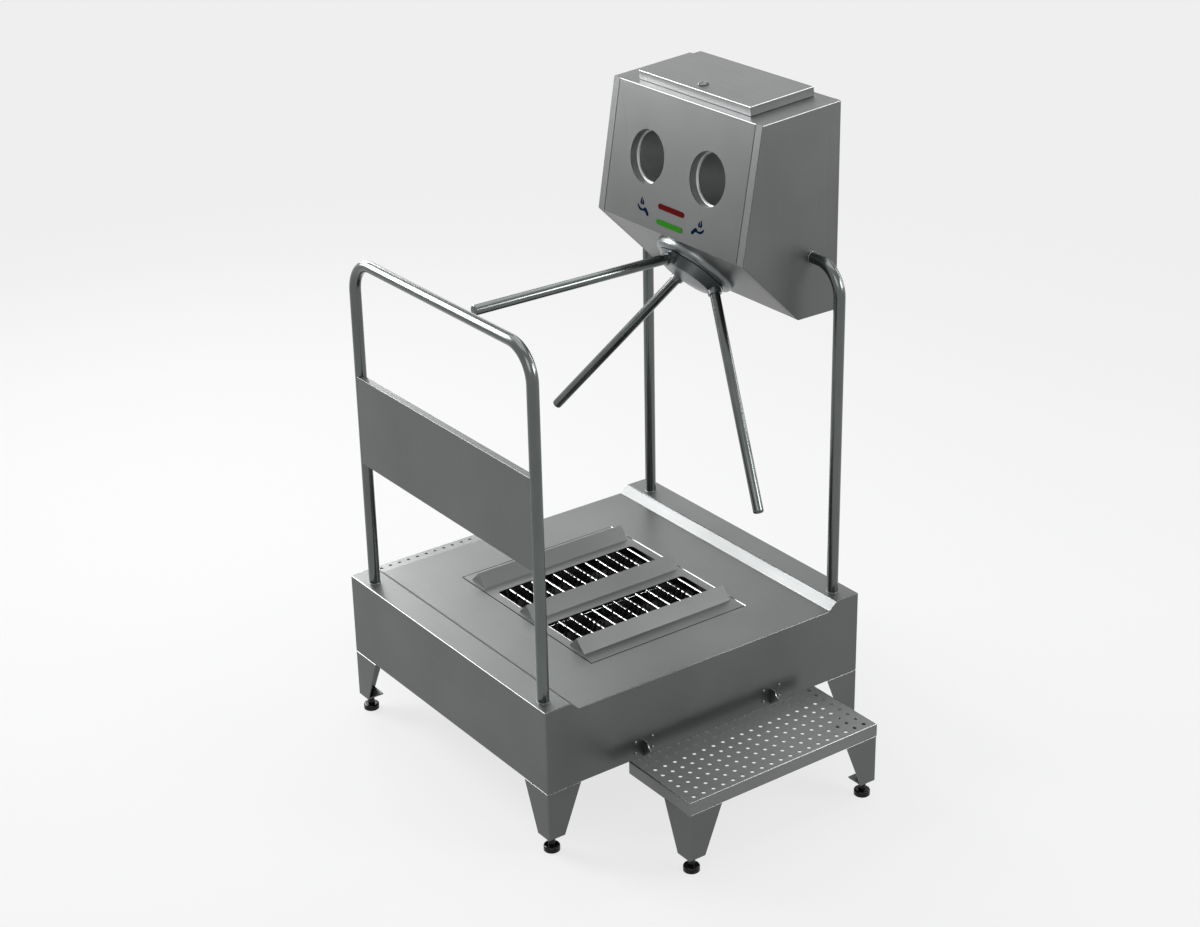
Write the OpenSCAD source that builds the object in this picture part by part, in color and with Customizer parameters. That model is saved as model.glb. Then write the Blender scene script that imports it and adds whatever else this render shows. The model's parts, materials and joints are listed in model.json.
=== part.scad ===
// Hygiene turnstile: a walk-over platform with two powered sole brushes, a step on
// each side, a handrail, and a head with two hand-disinfection ports that frees a
// three-armed turnstile. Millimetres, +Z up, walking direction +Y, origin on the floor
// under the middle of the whole object.

/* [Platform] */
// Width of the platform casing, across the walking direction
platform_w = 1000; // [960:5:1080]
// Length of the platform casing, along the walking direction
platform_l = 912; // [900:4:960]
// Height of the raised side ledges above the floor
ledge_top_h = 407; // [385:1:430]
// Height of the casing walls
casing_h = 230; // [222:1:250]
// Width of each raised side ledge
ledge_w = 75; // [60:1:90]
// Width of the sloped sheet between ledge and deck
slope_w = 25; // [15:1:35]
// Depth of the walking deck below the ledges
deck_drop = 21; // [12:1:28]
// Thickness of the folded sheet
sheet_t = 2; // [1.5:0.25:2.5]
// Width of the folded lip round the casing's underside
casing_lip = 40; // [30:1:60]

/* [Legs and feet] */
// Width of a leg's flanges at the top
leg_top_w = 100; // [80:1:120]
// Width of a leg's flanges at the bottom
leg_foot_w = 48; // [42:1:60]
// Thickness of the leg sheet
leg_t = 3; // [2:0.5:5]
// Height of the legs' lower edge above the floor
leg_clear = 44.5; // [42:0.5:60]
// Distance of a foot's centre from the leg's outer faces
foot_inset = 23; // [22:0.5:26]
// Radius of a foot pad
pad_r = 21; // [17:0.5:22]
// Height of a foot pad
pad_h = 16; // [10:1:20]
// Radius of the threaded foot stem
stem_r = 6; // [5:0.5:8]

/* [Steps] */
// Height of the step treads above the floor
step_h = 210; // [190:1:225]
// Width of the steps
step_w = 600; // [580:5:640]
// Depth of the entry step
entry_step_d = 242; // [236:1:270]
// Depth of the exit step
exit_step_d = 302; // [296:1:330]
// Gap between a step and the casing wall
step_gap = 38; // [30:1:50]
// Height of a step's folded skirt
step_skirt = 35; // [25:1:45]
// Centre of the steps, from the handrail side of the casing
step_centre_x = 519; // [505:1:530]
// Spacing of the holes in the treads
hole_pitch = 30.3; // [29:0.1:31]
// Radius of a tread hole
hole_r = 5.2; // [3:0.1:7]
// Holes across each tread
hole_columns = 19; // [15:1:19]
// Hole rows along the entry step
entry_rows = 8; // [5:1:8]
// Hole rows along the exit step
exit_rows = 10; // [6:1:10]
// Distance of the first hole row from the step's inner edge
hole_margin = 10.5; // [9:0.5:14]
// Distance between the two brackets that tie a step to the casing
bracket_span = 412; // [380:2:440]

/* [Deck cover] */
// Width of the removable deck cover
cover_w = 493; // [484:1:510]
// Length of the removable deck cover
cover_l = 590; // [584:1:610]
// Height of the cover's folded skirt
cover_skirt = 25; // [15:1:28]
// Length of the brush slots, across the walking direction
slot_l = 445; // [430:1:450]
// Width of the brush slots
slot_w = 116; // [100:1:118]
// Distance between the middles of the two slots
slot_spacing = 227; // [224:1:232]
// How far the slots sit off the middle of the cover, towards the entry
slot_shift = 5; // [2:0.5:7]
// Corner radius of the slots
slot_corner_r = 12; // [4:1:20]
// Grille rods in each slot
rods = 13; // [9:1:15]
// Radius of a grille rod
rod_r = 3; // [2:0.25:3.5]
// Distance of the first grille rod from its end of the slot
rod_first = 4; // [3.5:0.5:8]
// Distance of the last grille rod from its end of the slot
rod_last = 15; // [8:1:20]
// Base width of the foot ridges
ridge_w = 64; // [50:1:66]
// Height of the foot ridges
ridge_h = 32; // [18:1:34]
// Distance from one foot ridge to the next
ridge_spacing = 226; // [224:1:230]
// How far the ridges sit off the middle of the cover
ridge_shift = 9; // [4:1:10]
// How far the ridges stop short of the cover's sides
ridge_inset = 10; // [4:1:20]

/* [Brushes] */
// Radius of a brush over its bristles
brush_r = 95; // [88:1:98]
// Radius of a brush body, where the bristles start
brush_body_r = 45; // [38:1:55]
// Height of the bristle tips above the deck
bristle_rise = 4; // [1:0.5:6]
// Bristle tufts round each ring
tufts = 17; // [12:1:18]
// Turn of each ring of tufts against the one before it, in degrees
tuft_twist = 10; // [0:1:20]
// Base radius of a tuft
tuft_r = 2.6; // [1.5:0.1:3.5]
// Radius of the brush shafts
brush_shaft_r = 10; // [8:0.5:12]
// Belt radius of the brush pulleys
brush_pulley_r = 35; // [28:1:40]
// Belt radius of the motor pulley
motor_pulley_r = 20; // [16:1:26]
// Thickness of the drive belt
belt_t = 5; // [3:0.5:6]
// Width of the drive belt
belt_w = 10; // [8:1:14]

/* [Handrail] */
// Outer radius of the handrail and head post tubes
tube_r = 15; // [13:0.5:17]
// Distance of the handrail's centre line from the casing's side
rail_inset = 32; // [24:1:40]
// Height of the handrail's centre line above the floor
rail_h = 1318; // [1250:2:1380]
// Distance of the front posts from the entry wall
post_front_y = 53; // [40:1:70]
// Distance between the front and back posts
post_span = 788; // [780:2:800]
// Bend radius of the handrail's centre line
rail_bend_r = 86; // [60:1:110]
// Height of the handrail panel's lower edge above the floor
panel_low_h = 759; // [700:1:800]
// Height of the handrail panel
panel_h = 244; // [180:1:280]
// Thickness of the handrail panel
panel_t = 19; // [12:0.5:24]

/* [Head] */
// Width of the head, along the walking direction
head_w = 600; // [590:2:620]
// Width of the head's side cheeks
cheek_w = 25; // [18:1:30]
// Height of the head's flat bottom above the floor
head_bottom_h = 1146; // [1100:2:1180]
// How far the sloped underside runs back, and up
underside_run = 181; // [176:1:190]
// Height of the front face, from the underside's edge to the top
head_front_h = 345; // [335:1:370]
// How far the front face leans back over its height
head_lean = 59; // [50:1:66]
// Depth of the head, from the front edge to the back
head_depth = 307; // [300:1:320]
// How far the head's back stands past the platform's side
head_overhang = 36; // [10:1:50]
// Slope of the head's top, in degrees
top_slope = 4.4; // [2:0.1:6]
// Distance of the head posts from the platform's side
head_post_inset = 45; // [38:1:56]
// Height of the head posts' upper ends above the floor
head_post_h = 1303; // [1280:1:1330]
// Bend radius of the head posts' centre line
post_bend_r = 80; // [60:1:84]

/* [Hand ports] */
// Radius of the hand holes
port_r = 70; // [60:1:72]
// Distance between the middles of the hand holes
port_spacing = 246; // [236:1:256]
// Height of the hand holes' middle above the front face's lower edge
port_up = 178; // [170:1:184]
// Depth of the collar behind each hand hole
collar_depth = 24; // [12:1:26]
// Inner radius of the spray pots
pot_r = 76; // [75:0.5:80]
// Depth of the spray pots behind the front panel
pot_depth = 190; // [150:1:194]
// Length of the indicator lenses
lens_l = 106; // [80:1:120]
// Width of the indicator lenses
lens_w = 14; // [8:0.5:18]
// Height of the lower lens above the front face's lower edge
lens_up = 27; // [22:1:34]
// Distance between the two lenses
lens_spacing = 40; // [24:1:44]

/* [Lid] */
// Length of the lid, along the walking direction
lid_l = 448; // [400:2:480]
// Width of the lid
lid_w = 202; // [190:1:206]
// Height of the lid's top above the head's top
lid_h = 25; // [22:0.5:30]
// Distance of the lid from the head's front top edge
lid_setback = 25; // [20:1:26]
// Radius of the lock's domed cap
lock_r = 14; // [12:0.5:18]
// Distance of the lock from the lid's front edge
lock_setback = 33; // [30:1:45]

/* [Turnstile] */
// Length of the arms, from the point where their lines meet
arm_len = 715; // [600:5:720]
// Radius of the arms
arm_r = 13.5; // [11:0.5:15]
// Wall thickness of the arms
arm_wall = 2.5; // [1.5:0.25:4]
// Radius of the fixed flange at the underside
flange_r = 115; // [108:1:120]
// Thickness of the fixed flange
flange_t = 21; // [14:0.5:24]
// Radius of the rotor where it meets the flange
rotor_r = 97; // [92:1:100]
// Height of the rotor's conical part
rotor_cone_h = 26; // [22:0.5:30]
// Radius of the turnstile shaft
shaft_r = 15; // [12:0.5:17]
// Radius of the index disc
index_r = 58; // [50:1:60]
// Thickness of the index disc
index_t = 8; // [6:0.5:12]
// Notches round the index disc
notches = 12; // [3:3:12]
// Width of the locking bolt
bolt_w = 12; // [9:0.5:12]
// Travel of the locking bolt
bolt_travel = 10; // [6:0.5:11]

/* [Reservoir] */
// Length of the disinfectant reservoir
tank_l = 420; // [340:5:430]
// Width of the disinfectant reservoir
tank_w = 180; // [150:2:190]
// Height of the disinfectant reservoir
tank_h = 78; // [60:1:82]
// Wall thickness of the reservoir
tank_wall = 3; // [2:0.5:4]
// Radius of the filler neck
neck_r = 28; // [22:1:34]

/* [Hidden] */
$fn = 64;

// Clearances and small shared sizes
seam = 1.5;          // visible seam round the deck cover
gap = 0.3;           // free space between pieces of different bodies
fit = 0.04;          // radial clearance of a running fit
panel_seam = 0.8;    // seam between front panel and cheeks
upstand_gap = 2;     // free space between the lid's skirt and the upstand
eps = 0.01;

steel_top = "#949795";
steel_side = "#6b6e6d";
tube_colour = "#565c5a";
chrome = "#c9cccc";
black = "#1a1a1a";

// Heights and edges of the platform
deck_z = ledge_top_h - deck_drop;
casing_low_z = ledge_top_h - casing_h;
mid_x = platform_w / 2;
mid_y = platform_l / 2;
entry_edge_y = -step_gap - entry_step_d;
exit_edge_y = platform_l + step_gap + exit_step_d;

// Head outline, seen from the entry side
back_x = platform_w + head_overhang;
knee_x = back_x - head_depth;
top_x = knee_x + head_lean;
low_x = knee_x + underside_run;
knee_z = head_bottom_h + underside_run;
top_z = knee_z + head_front_h;
back_top_z = top_z + (back_x - top_x) * tan(top_slope);
head_outline = [[top_x, top_z], [knee_x, knee_z], [low_x, head_bottom_h],
                [back_x, head_bottom_h], [back_x, back_top_z]];
shelf_t = 2.5;
tank_top_z = top_z - 12;
tank_low_z = tank_top_z - tank_h;
tank_x = back_x - sheet_t - 6 - tank_w;
pump_x = tank_x + 40;
face_tilt = atan2(head_lean, head_front_h);
face_len = norm([head_lean, head_front_h]);
shell_w = head_w - 2 * cheek_w;

// The whole object, for its origin
whole_w = max(platform_w, back_x);
whole_mid_y = (entry_edge_y + exit_edge_y) / 2;

// Brush drive
cover_x = mid_x - cover_w / 2;
slot_x = mid_x - slot_l / 2;
rods_x = slot_x + rod_first;
rods_l = slot_l - rod_first - rod_last;
rod_pitch = rods_l / (rods - 1);
// The middle of the front slot and brush (s = -1) or the back ones (s = 1)
function slot_y(s) = mid_y - slot_shift + s * slot_spacing / 2;
brush_z = deck_z + bristle_rise - brush_r;
basin_wall = sheet_t;
basin_w = cover_w + 2 * seam + 10;
basin_l = cover_l + 2 * seam + 10;
basin_side_x = mid_x + basin_w / 2;
bearing_t = 14;
bearing_r = 26;
bearing_bore = brush_shaft_r + fit;
pulley_w = belt_w + 4;
pulley_x = basin_side_x + bearing_t + 4;
motor_z = casing_low_z + sheet_t + 52;
motor_plate_x = pulley_x + pulley_w + 3;
motor_plate_t = 4;
motor_r = 45;
motor_l = 150;
motor_shaft_r = 9;
motor_seat = 30;

// Turnstile, in the hub's own frame: z = 0 on the underside, +z out along its axis
apex_depth = 45;
rotor_base_z = flange_t + 0.6;
arm_angle = 45;
arm_start = (apex_depth + rotor_base_z + 2) * sqrt(2) + arm_r;
cone_face = (apex_depth + rotor_base_z + 1 + rotor_r) / sqrt(2);
socket_len = 12;
housing_r = 36;
housing_len = 108;
bearing_out_r = 27.5;
bearing_len = 13;
index_z = -(housing_len + 10 + index_t);
damper_len = 40;
damper_r = 36;
damper_floor = 4;
damper_z = index_z - 6 - damper_len;
bracket_y = index_r + 9;
bracket_arm_t = 5;
notch_depth = bolt_travel + 2;

// Points of a polygon, moved inwards by t; the points run counter-clockwise
function unit(v) = v / norm(v);
function left(v) = [-v.y, v.x];
function inset(pts, t) = [
    for (i = [0:len(pts) - 1])
        let (before = pts[(i + len(pts) - 1) % len(pts)])
        let (after = pts[(i + 1) % len(pts)])
        let (n1 = left(unit(pts[i] - before)))
        let (n2 = left(unit(after - pts[i])))
        pts[i] + (n1 + n2) * t / (1 + n1 * n2)
];

// Points of an arc, from angle a to angle b
function arc(centre, r, a, b, steps = 8) = [
    for (i = [0:steps]) let (t = a + (b - a) * i / steps) centre + r * [cos(t), sin(t)]
];

// Points of a quarter curve that leaves a level and reaches b upright
function sweep(a, b, steps = 8) = [
    for (i = [0:steps])
        let (t = 90 * i / steps)
        [a.x + (b.x - a.x) * sin(t), a.y + (b.y - a.y) * (1 - cos(t))]
];

module placed() {
    translate([-whole_w / 2, -whole_mid_y, 0]) children();
}

// Stands a shape drawn in X and Z upright and gives it a length along Y
module along_y(y, length) {
    translate([0, y + length, 0]) rotate([90, 0, 0]) linear_extrude(length) children();
}

// Stands a shape drawn in Y and Z upright and gives it a length along X
module along_x(x, length) {
    translate([x, 0, 0]) rotate([90, 0, 90]) linear_extrude(length) children();
}

// Puts the children's +Z along X, starting at a point
module lay_x(at) {
    translate(at) rotate([0, 90, 0]) children();
}

// The front face's frame: x up the face, y across it, z outwards
module on_front() {
    translate([knee_x, mid_y, knee_z]) rotate([0, face_tilt - 90, 0]) children();
}

// The head top's frame: x from the front edge backwards, z outwards
module on_top() {
    translate([top_x, mid_y, top_z]) rotate([0, -top_slope, 0]) children();
}

// The hub's frame: z = 0 on the sloped underside, +z outwards along the turnstile's axis
module on_hub() {
    translate([knee_x + underside_run / 2, mid_y, knee_z - underside_run / 2])
        rotate([0, -135, 0]) children();
}

module rounded_slot(l, w, r) {
    square([l - 2 * r, w], center = true);
    square([l, w - 2 * r], center = true);
    for (x = [-1, 1], y = [-1, 1]) translate([x * (l / 2 - r), y * (w / 2 - r)]) circle(r);
}

// A flat bar with round ends, along y
module capsule(l, w) {
    square([w, l - w], center = true);
    for (y = [-1, 1]) translate([0, y * (l - w) / 2]) circle(w / 2);
}

module tub_outline() {
    polygon(tub_points());
}

function tub_points() = [
    [0, casing_low_z], [platform_w, casing_low_z], [platform_w, ledge_top_h],
    [platform_w - ledge_w, ledge_top_h], [platform_w - ledge_w - slope_w, deck_z],
    [ledge_w + slope_w, deck_z], [ledge_w, ledge_top_h], [0, ledge_top_h]
];

gland_y = platform_l - 110;
gland_z = casing_low_z + 80;
gland_r = 8;
gland_bore = 5;

// Folded casing: ledges, slopes, deck with the cover's opening, walls and bottom lip
module tub_casing() {
    color(steel_top) placed() difference() {
        union() {
            along_y(0, platform_l) difference() {
                tub_outline();
                polygon(inset(tub_points(), sheet_t));
            }
            for (y = [0, platform_l - sheet_t]) along_y(y, sheet_t) tub_outline();
        }
        translate([casing_lip, casing_lip, casing_low_z - 1])
            cube([platform_w - 2 * casing_lip, platform_l - 2 * casing_lip, sheet_t + 2]);
        translate([mid_x, mid_y, deck_z])
            cube([cover_w + 2 * seam, cover_l + 2 * seam, 6 * sheet_t], center = true);
        lay_x([platform_w - 2 * sheet_t, gland_y, gland_z]) cylinder(r = gland_r, h = 4 * sheet_t);
        at_brackets() bracket_holes() cylinder(r = screw_r + 0.1, h = 20, center = true);
    }
}

// Frame that carries the cover's skirt, welded inside the basin
rim_t = 3;
rim_top_z = deck_z - cover_skirt - gap;
module cover_rim() {
    color(steel_side) placed() translate([mid_x, mid_y, rim_top_z - rim_t])
        linear_extrude(rim_t) difference() {
            square([basin_w, basin_l], center = true);
            square([cover_w - 24, cover_l - 24], center = true);
        }
}

// Sheet basin under the brushes: walls up to the deck, floor falling to the drain
drain_r = 20;
drain_wall = 2;
drain_l = 45;
basin_fall = 12;
basin_low_z = casing_low_z + sheet_t + 3;
module basin_section(l, t) {
    polygon([
        [-l / 2, deck_z - sheet_t], [-l / 2, basin_low_z + basin_fall - t],
        [0, basin_low_z - t], [l / 2, basin_low_z + basin_fall - t], [l / 2, deck_z - sheet_t]
    ]);
}
module brush_basin() {
    color(steel_side) placed() difference() {
        union() {
            translate([0, mid_y, 0])
                along_x(mid_x - basin_w / 2 - basin_wall, basin_w + 2 * basin_wall)
                    basin_section(basin_l + 2 * basin_wall, basin_wall);
            translate([mid_x, mid_y, deck_z - sheet_t - basin_wall]) linear_extrude(basin_wall)
                square([basin_w + 30, basin_l + 30], center = true);
        }
        translate([0, mid_y, eps]) along_x(mid_x - basin_w / 2, basin_w) basin_section(basin_l, 0);
        for (s = [-1, 1]) lay_x([mid_x - basin_w, slot_y(s), brush_z])
            cylinder(r = bearing_bore + 1, h = 2 * basin_w);
        translate([mid_x, mid_y, basin_low_z - 3 * basin_wall]) cylinder(r = drain_r, h = 6 * basin_wall);
    }
}

// Waste pipe below the basin's lowest point
module drain_spout() {
    top = basin_low_z - basin_wall;
    collar_t = 4;
    collar_w = 12;
    color(steel_side) placed() translate([mid_x, mid_y, top]) difference() {
        union() {
            translate([0, 0, -drain_l]) cylinder(r = drain_r, h = drain_l);
            translate([0, 0, -collar_t]) cylinder(r = drain_r + collar_w, h = collar_t);
        }
        translate([0, 0, -drain_l - 1]) cylinder(r = drain_r - drain_wall, h = drain_l + 2);
    }
}

// Four flanged bearings on the basin's side walls
module flange_bearing() {
    rotate_extrude() polygon([
        [bearing_bore, 0], [bearing_r + 8, 0], [bearing_r + 8, 4], [bearing_r, 6],
        [bearing_r - 4, bearing_t], [bearing_bore, bearing_t]
    ]);
}
module brush_bearings() {
    color(chrome) placed() for (s = [-1, 1]) {
        y = slot_y(s);
        lay_x([basin_side_x + basin_wall, y, brush_z]) flange_bearing();
        translate([mid_x - basin_w / 2 - basin_wall, y, brush_z]) rotate([0, -90, 0]) flange_bearing();
    }
}

// Gearmotor on a plate that hangs from the deck
module gear_motor() {
    plate_w = 110;
    gearbox_l = 40;
    box = [70, 60, 34];
    box_x = motor_plate_x + motor_plate_t + gearbox_l + 16;
    box_sink = 8;
    color("#3d5a6c") placed() difference() {
        union() {
            translate([motor_plate_x, mid_y - plate_w / 2, motor_z - motor_r])
                cube([motor_plate_t, plate_w, deck_z - sheet_t - motor_z + motor_r]);
            lay_x([motor_plate_x, mid_y, motor_z]) {
                cylinder(r = motor_r, h = motor_plate_t + motor_l);
                translate([0, 0, motor_plate_t]) rotate([0, 0, 22.5])
                    cylinder(r = motor_r + 6, h = gearbox_l, $fn = 8);
            }
            translate([box_x, mid_y - box.y / 2, motor_z + motor_r - box_sink]) cube(box);
        }
        lay_x([motor_plate_x - 1, mid_y, motor_z]) cylinder(r = motor_shaft_r + fit, h = motor_seat + 1);
    }
}

// Drive belt round the three pulleys
module belt_loop(extra) {
    hull() {
        for (s = [-1, 1]) translate([slot_y(s), brush_z])
            circle(brush_pulley_r + gap + extra, $fn = 96);
        translate([mid_y, motor_z]) circle(motor_pulley_r + gap + extra, $fn = 96);
    }
}
module drive_belt() {
    color(black) placed() along_x(pulley_x + (pulley_w - belt_w) / 2, belt_w) difference() {
        belt_loop(belt_t);
        belt_loop(0);
    }
}

// Spray pipe between the two brushes
spray_r = 8;
spray_z = brush_z + 45;
jets = 6;
jet_tilt = 115;
module spray_bar() {
    jet_r = 4;
    jet_tip_r = 2.5;
    y = (slot_y(-1) + slot_y(1)) / 2;
    color(chrome) placed() {
        lay_x([mid_x - basin_w / 2, y, spray_z]) cylinder(r = spray_r, h = basin_w);
        for (i = [0:jets - 1]) translate([slot_x + (i + 0.5) * slot_l / jets, y, spray_z])
            for (s = [-1, 1]) rotate([s * jet_tilt, 0, 0])
                cylinder(r1 = jet_r, r2 = jet_tip_r, h = 2 * spray_r);
    }
}

// Cable gland in the casing's side wall
module cable_gland() {
    nut_r = gland_r + 4;
    nut_in = 10;
    nut_out = 7;
    dome_l = 8;
    color(black) placed() lay_x([platform_w - sheet_t, gland_y, gland_z]) difference() {
        union() {
            translate([0, 0, -nut_in]) cylinder(r = nut_r, h = nut_in, $fn = 6);
            cylinder(r = gland_r, h = sheet_t + nut_out + dome_l);
            translate([0, 0, sheet_t]) cylinder(r = nut_r, h = nut_out, $fn = 6);
        }
        translate([0, 0, -nut_in - 1]) cylinder(r = gland_bore, h = nut_in + sheet_t + nut_out + dome_l + 2);
    }
}

// One tapered sheet leg in the corner x, y >= 0, with its head flange and foot plate
module leg(top_z) {
    side = [[0, leg_clear], [leg_foot_w, leg_clear], [leg_top_w, top_z], [0, top_z]];
    difference() {
        union() {
            along_y(0, leg_t) polygon(side);
            mirror([1, -1, 0]) along_y(0, leg_t) polygon(side);
            translate([0, 0, top_z - leg_t]) linear_extrude(leg_t)
                polygon([[0, 0], [leg_top_w, 0], [0, leg_top_w]]);
            translate([0, 0, leg_clear]) cube([leg_foot_w, leg_foot_w, leg_t + 1]);
        }
        translate([foot_inset, foot_inset, leg_clear - 1]) cylinder(r = stem_r + fit, h = leg_t + 3);
    }
}

// Four corners of a rectangle, each turned so that the children's corner faces out
module corners(x0, x1, y0, y1) {
    translate([x0, y0, 0]) children();
    translate([x1, y0, 0]) mirror([1, 0, 0]) children();
    translate([x0, y1, 0]) mirror([0, 1, 0]) children();
    translate([x1, y1, 0]) mirror([1, 0, 0]) mirror([0, 1, 0]) children();
}

// Levelling foot: rubber-edged pad, neck, threaded stem and lock nut
neck_foot_r = 9.5;
nut_r = 10.5;
nut_h = 8;
module levelling_foot() {
    nut_z = leg_clear - nut_h;
    edge = 4;
    stem_above = 18;
    translate([foot_inset, foot_inset, 0]) {
        rotate_extrude() polygon(concat(
            [[0, 0], [pad_r - 1, 0], [pad_r, 1]],
            arc([pad_r - edge, pad_h - edge], edge, 0, 90, 4),
            [[neck_foot_r, pad_h], [neck_foot_r, nut_z], [0, nut_z]]
        ));
        translate([0, 0, nut_z]) cylinder(r = nut_r, h = nut_h, $fn = 6);
        cylinder(r = stem_r, h = leg_clear + leg_t + stem_above);
    }
}

module platform_legs() {
    color(steel_side) placed() corners(0, platform_w, 0, platform_l) leg(casing_low_z);
}
module platform_feet() {
    color(black) placed() corners(0, platform_w, 0, platform_l) levelling_foot();
}

step_x = step_centre_x - step_w / 2;
step_low_z = step_h - step_skirt;
// The two outer corners of each step
module step_corners() {
    translate([step_x, entry_edge_y, 0]) children();
    translate([step_x + step_w, entry_edge_y, 0]) mirror([1, 0, 0]) children();
    translate([step_x, exit_edge_y, 0]) mirror([0, 1, 0]) children();
    translate([step_x + step_w, exit_edge_y, 0]) mirror([1, 0, 0]) mirror([0, 1, 0]) children();
}
module step_legs() {
    color(steel_side) placed() step_corners() leg(step_low_z);
}
module step_feet() {
    color(black) placed() step_corners() levelling_foot();
}

// Folded, perforated tread whose inner edge is at y = 0 and which runs towards +Y
module tread(depth, rows) {
    first_x = (step_w - (hole_columns - 1) * hole_pitch) / 2;
    translate([0, 0, step_h - sheet_t]) linear_extrude(sheet_t) difference() {
        square([step_w, depth]);
        for (i = [0:hole_columns - 1], j = [0:rows - 1])
            translate([first_x + i * hole_pitch, hole_margin + j * hole_pitch]) circle(hole_r);
    }
    translate([0, 0, step_low_z]) linear_extrude(step_skirt - sheet_t) difference() {
        square([step_w, depth]);
        translate([sheet_t, sheet_t]) square([step_w - 2 * sheet_t, depth - 2 * sheet_t]);
    }
}
module entry_step() {
    color(steel_top) placed() translate([step_x, -step_gap, 0]) mirror([0, 1, 0])
        tread(entry_step_d, entry_rows);
}
module exit_step() {
    color(steel_top) placed() translate([step_x, platform_l + step_gap, 0])
        tread(exit_step_d, exit_rows);
}

// Brackets that tie the steps to the casing: a curved web outside, and a plate inside
// that its four screws pull against the wall
bracket_plate_w = 74;
bracket_plate_h = 54;
bracket_rise = 33;
bracket_z = casing_low_z + bracket_rise;
bracket_t = 3;
screw_r = 2.5;
screw_head_r = 4.2;
screw_head_h = 1.4;
screw_span = 52;
screw_rise = 32;
// The four places on the casing's walls, with +Y outwards
module at_brackets() {
    for (s = [-1, 1]) translate([mid_x + s * bracket_span / 2, 0, 0]) {
        mirror([0, 1, 0]) children();
        translate([0, platform_l, 0]) children();
    }
}
// The four screws of one bracket, with +Z outwards
module bracket_holes() {
    for (x = [-1, 1], z = [-1, 1])
        translate([x * screw_span / 2, 0, bracket_z + z * screw_rise / 2]) rotate([-90, 0, 0]) children();
}
module bracket() {
    edge = 4;
    curve_w = 18;
    wall_top = bracket_z + 14;
    wall_low = bracket_z - bracket_plate_h / 2 - edge;
    step_top = step_h - edge;
    translate([-bracket_plate_w / 2, -sheet_t - bracket_t, bracket_z - bracket_plate_h / 2])
        cube([bracket_plate_w, bracket_t, bracket_plate_h]);
    bracket_holes() {
        translate([0, 0, -sheet_t - bracket_t]) cylinder(r = screw_r, h = sheet_t + bracket_t + 1);
        cylinder(r = screw_head_r, h = screw_head_h);
        translate([0, 0, screw_head_h]) cylinder(r1 = screw_head_r, r2 = screw_r, h = 1);
    }
    along_x(-bracket_t / 2, bracket_t) polygon(concat(
        [[0, wall_top], [0, wall_low], [step_gap, step_low_z + edge], [step_gap, step_top]],
        sweep([step_gap - edge, step_top], [step_gap - edge - curve_w, wall_top])
    ));
}
module step_brackets() {
    color(steel_side) placed() at_brackets() bracket();
}

// Quarter bend of a round tube in the plane of Y and Z: it leaves the origin along +Z
// and ends along +Y
module tube_bend(bend_r, r, wall) {
    translate([0, bend_r, 0]) rotate([90, 0, -90]) rotate_extrude(angle = 90)
        translate([bend_r, 0]) difference() {
            circle(r);
            circle(r - wall);
        }
}
module tube(r, wall, l) {
    linear_extrude(l) difference() {
        circle(r);
        circle(r - wall);
    }
}
tube_wall = 2;
post_back_y = post_front_y + post_span;

// Handrail: one tube bent twice, welded on the ledge
module handrail_tube() {
    straight = rail_h - ledge_top_h - rail_bend_r;
    color(tube_colour) placed() translate([rail_inset, 0, ledge_top_h]) {
        translate([0, post_front_y, 0]) {
            tube(tube_r, tube_wall, straight);
            translate([0, 0, straight]) tube_bend(rail_bend_r, tube_r, tube_wall);
        }
        translate([0, post_back_y, 0]) mirror([0, 1, 0]) {
            tube(tube_r, tube_wall, straight);
            translate([0, 0, straight]) tube_bend(rail_bend_r, tube_r, tube_wall);
        }
        translate([0, post_front_y + rail_bend_r, rail_h - ledge_top_h]) rotate([-90, 0, 0])
            tube(tube_r, tube_wall, post_span - 2 * rail_bend_r);
    }
}

// Hollow panel between the handrail posts, its ends cut to the tubes
module handrail_panel() {
    panel_x = rail_inset - tube_r + 0.5;
    wall = sheet_t;
    color(steel_side) placed() difference() {
        translate([panel_x, post_front_y, panel_low_h]) cube([panel_t, post_span, panel_h]);
        translate([panel_x + wall, post_front_y + tube_r + wall, panel_low_h + wall])
            cube([panel_t - 2 * wall, post_span - 2 * tube_r - 2 * wall, panel_h - 2 * wall]);
        for (y = [post_front_y, post_back_y]) translate([rail_inset, y, panel_low_h - 1])
            cylinder(r = tube_r + 0.1, h = panel_h + 2);
    }
}

// Head post: rises from the ledge and bends into the head's cheek
head_front_y = mid_y - head_w / 2;
head_back_y = mid_y + head_w / 2;
post_in_cheek = 30;
module head_post(reach) {
    straight = head_post_h - ledge_top_h - post_bend_r;
    tube(tube_r, tube_wall, straight);
    translate([0, 0, straight]) tube_bend(post_bend_r, tube_r, tube_wall);
    translate([0, post_bend_r, straight + post_bend_r]) rotate([-90, 0, 0])
        tube(tube_r, tube_wall, reach + post_in_cheek - post_bend_r);
}
module head_post_front() {
    color(tube_colour) placed() translate([platform_w - head_post_inset, post_front_y, ledge_top_h])
        head_post(head_front_y - post_front_y);
}
module head_post_back() {
    color(tube_colour) placed() translate([platform_w - head_post_inset, post_back_y, ledge_top_h])
        mirror([0, 1, 0]) head_post(post_back_y - head_back_y);
}

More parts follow.
